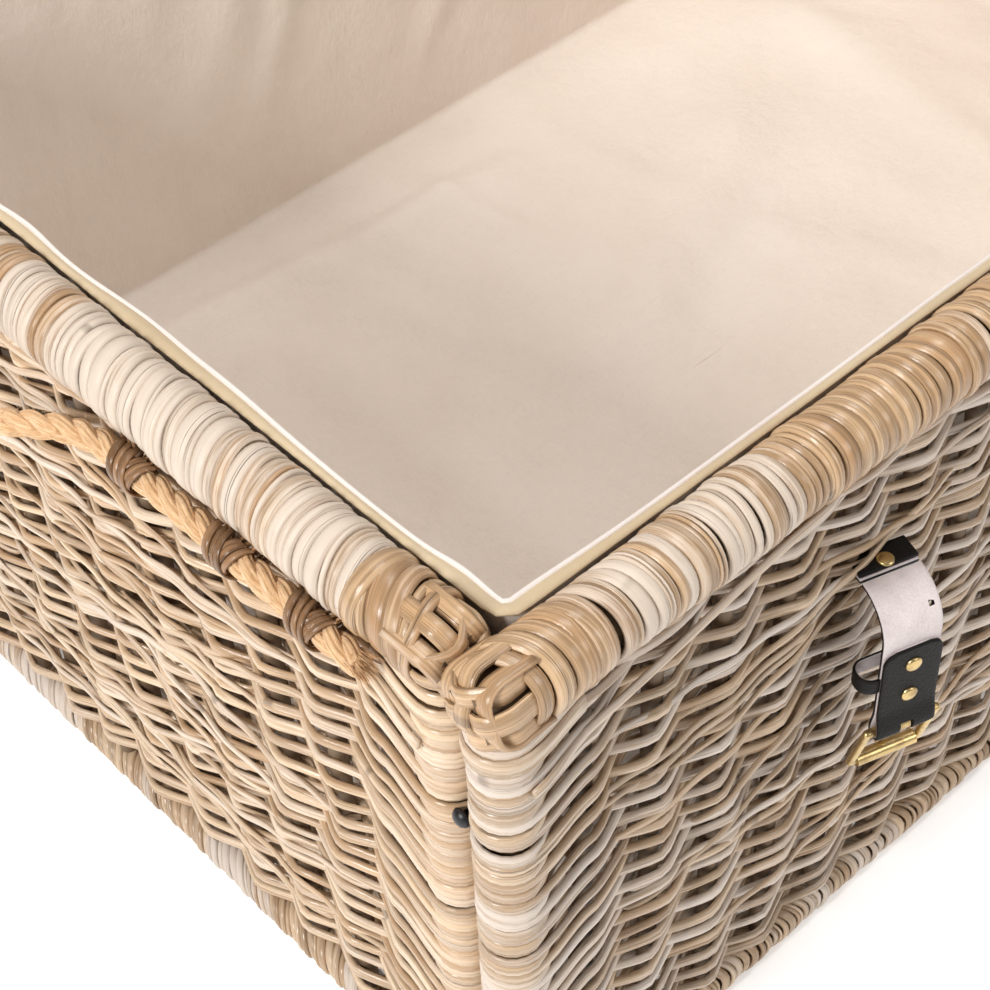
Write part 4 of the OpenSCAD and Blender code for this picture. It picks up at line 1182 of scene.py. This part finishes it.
def lid_strap(side_name):
    """The free strap end: a flat strip with a round tip and a row of holes."""
    joint = np.array(JOINTS[side_name + "_lid_strap_flex"]["pos_m"])
    lo = box(side_name + "_lid_strap")[0]
    length = joint[2] - lo[2]
    curve = bpy.data.curves.new("outline", "CURVE")
    curve.dimensions, curve.fill_mode = "2D", "BOTH"
    tip = np.radians(np.linspace(180, 360, 19))
    w = STRAP_W / 2 - 0.4 * MM
    outline = [(-w, 0.6 * MM)] + [(w * math.cos(a), -length + w + 0.4 * MM + w * math.sin(a)) for a in tip]
    outline += [(w, 0.6 * MM)]
    loops = [outline]
    for i in range(STRAP_HOLES):
        y = -(length - STRAP_W / 2 - 8 * MM - i * HOLE_PITCH)
        loops.append([(HOLE_R * math.cos(a), y + HOLE_R * math.sin(a))
                      for a in np.linspace(0, 2 * math.pi, 18, endpoint=False)])
    for points in loops:
        spline = curve.splines.new("POLY")
        spline.points.add(len(points) - 1)
        for p, (x, y) in zip(spline.points, points):
            p.co = (x, y, 0, 1)
        spline.use_cyclic_u = True
    curve.extrude, curve.bevel_depth, curve.bevel_resolution = STRAP_T / 2 - 0.5 * MM, 0.4 * MM, 2
    maker = bpy.data.objects.new("outline", curve)
    bpy.context.scene.collection.objects.link(maker)
    bpy.context.view_layer.update()
    graph = bpy.context.evaluated_depsgraph_get()
    mesh = bpy.data.meshes.new_from_object(maker.evaluated_get(graph))
    bpy.data.objects.remove(maker)
    face = mesh.attributes.new("face", "FLOAT", "POINT")
    side = np.array([v.co.z for v in mesh.vertices])
    face.data.foreach_set("value", (-side / np.abs(side).max()).astype(np.float32))
    mesh.transform(Matrix.Translation(joint) @ Matrix.Rotation(math.pi / 2, 4, "X"))
    place(side_name + "_strap_end", mesh, side_name + "_lid_strap_body", mat_leather,
          [side_name + "_lid_strap"])


for side_name in ("left", "right"):
    lid_strap(side_name)


# ---------------------------------------------------------------- bolts and the rest of the frame


def bolts():
    lo, hi = box("corner_bolts")
    head = [(0.2 * MM, 3.1 * MM), (1.6 * MM, 2.95 * MM), (3.0 * MM, 2.4 * MM), (4.1 * MM, 1.3 * MM),
            (4.6 * MM, 0.0), (4.5 * MM, -0.6 * MM), (2.0 * MM, -0.6 * MM), (2.0 * MM, -24 * MM),
            (0.2 * MM, -24 * MM)]
    seam_y = (WALLS["back"].origin[1] + WALLS["left"].half) / 2
    shapes = []
    for sx in (-1, 1):
        for sy in (-1, 1):
            for z in (lo[2] + 4.5 * MM, hi[2] - 4.5 * MM):
                at = np.array([sx * (hi[0] - 3 * MM), sy * seam_y, z])
                shapes.append((head, at, (sx, 0, 0)))
    turned_piece("bolt_heads", shapes, "trunk_body", mat_iron, ["corner_bolts"])


bolts()

BY_SLOT = {"cane_weave": mat_grey_shaded, "cane_wrap": mat_wrap, "cane_stake": mat_shaded_stake, "pole_wood": mat_pole,
           "pine_wood": mat_pine, "linen": mat_linen, "jute_rope": mat_rope, "lashing_peel": mat_lash,
           "black_leather": mat_leather, "brass": mat_brass, "black_iron": mat_iron}
for row in frame["record"]["subparts"]:
    node = frame["nodes"][row["node"]]
    node.data.materials.clear()
    node.data.materials.append(BY_SLOT[row["material_slot"]])


# ---------------------------------------------------------------- stage, light and camera


def stage():
    mesh = bpy.data.meshes.new("floor")
    s = 7.0
    mesh.from_pydata([(-s, -s, 0), (s, -s, 0), (s, s, 0), (-s, s, 0)], [], [(0, 1, 2, 3)])
    floor = bpy.data.objects.new("floor", mesh)
    bpy.context.scene.collection.objects.link(floor)
    n = Nodes("studio_floor")
    speck = n.noise(n.coordinates(), 3.0, 2, 0.5)
    mesh.materials.append(n.finish(n.mix(speck, (0.96, 0.96, 0.96), (0.98, 0.98, 0.98)), 0.8,
                                   Emission_Color=(1, 1, 1, 1), Emission_Strength=0.3))
    world = bpy.data.worlds.new("studio")
    bpy.context.scene.world = world
    world.use_nodes = True
    sky = world.node_tree.nodes["Background"]
    sky.inputs["Color"].default_value = (1.0, 1.0, 1.0, 1)
    sky.inputs["Strength"].default_value = 0.30
    for name, at, size, power in (("key", (-2.5, -0.35, 1.9), 0.7, 64), ("fill", (0.6, -2.6, 1.8), 1.0, 22),
                                  ("top", (0.3, 0.1, 2.8), 1.0, 33), ("rear", (0.8, 2.4, 1.9), 1.6, 22)):
        light = bpy.data.lights.new(name, "AREA")
        light.size, light.energy = size, power
        lamp = bpy.data.objects.new(name, light)
        bpy.context.scene.collection.objects.link(lamp)
        lamp.location = at
        aim = Vector((0, 0, 0.2)) - Vector(at)
        lamp.rotation_euler = aim.to_track_quat("-Z", "Y").to_euler()


def camera():
    """Looks down into the near left corner from about 0.8 m away."""
    azimuth, elevation, roll = math.radians(-40.7), math.radians(46.68), math.radians(-2.92)
    back = Vector((math.sin(azimuth) * math.cos(elevation), -math.cos(azimuth) * math.cos(elevation),
                   math.sin(elevation)))
    right = Vector((0, 0, 1)).cross(back).normalized()
    up = back.cross(right)
    right, up = (math.cos(roll) * right + math.sin(roll) * up, math.cos(roll) * up - math.sin(roll) * right)
    data = bpy.data.cameras.new("camera")
    data.lens, data.sensor_width = 83.1, 36
    data.clip_start, data.clip_end = 0.02, 60
    made = bpy.data.objects.new("camera", data)
    bpy.context.scene.collection.objects.link(made)
    axes = Matrix((right, up, back)).transposed()
    corner = Vector((-xa, -ya, rim_top - RIM_R))
    made.matrix_world = Matrix.Translation(corner + CAMERA_OFFSET) @ axes.to_4x4()
    bpy.context.scene.camera = made


# From the crossing of the front and left rims' axes to the lens
CAMERA_OFFSET = Vector((-0.3317, -0.3871, 0.6438))

stage()
camera()
bpy.context.scene.view_settings.view_transform = "Standard"

bpy.context.view_layer.update()
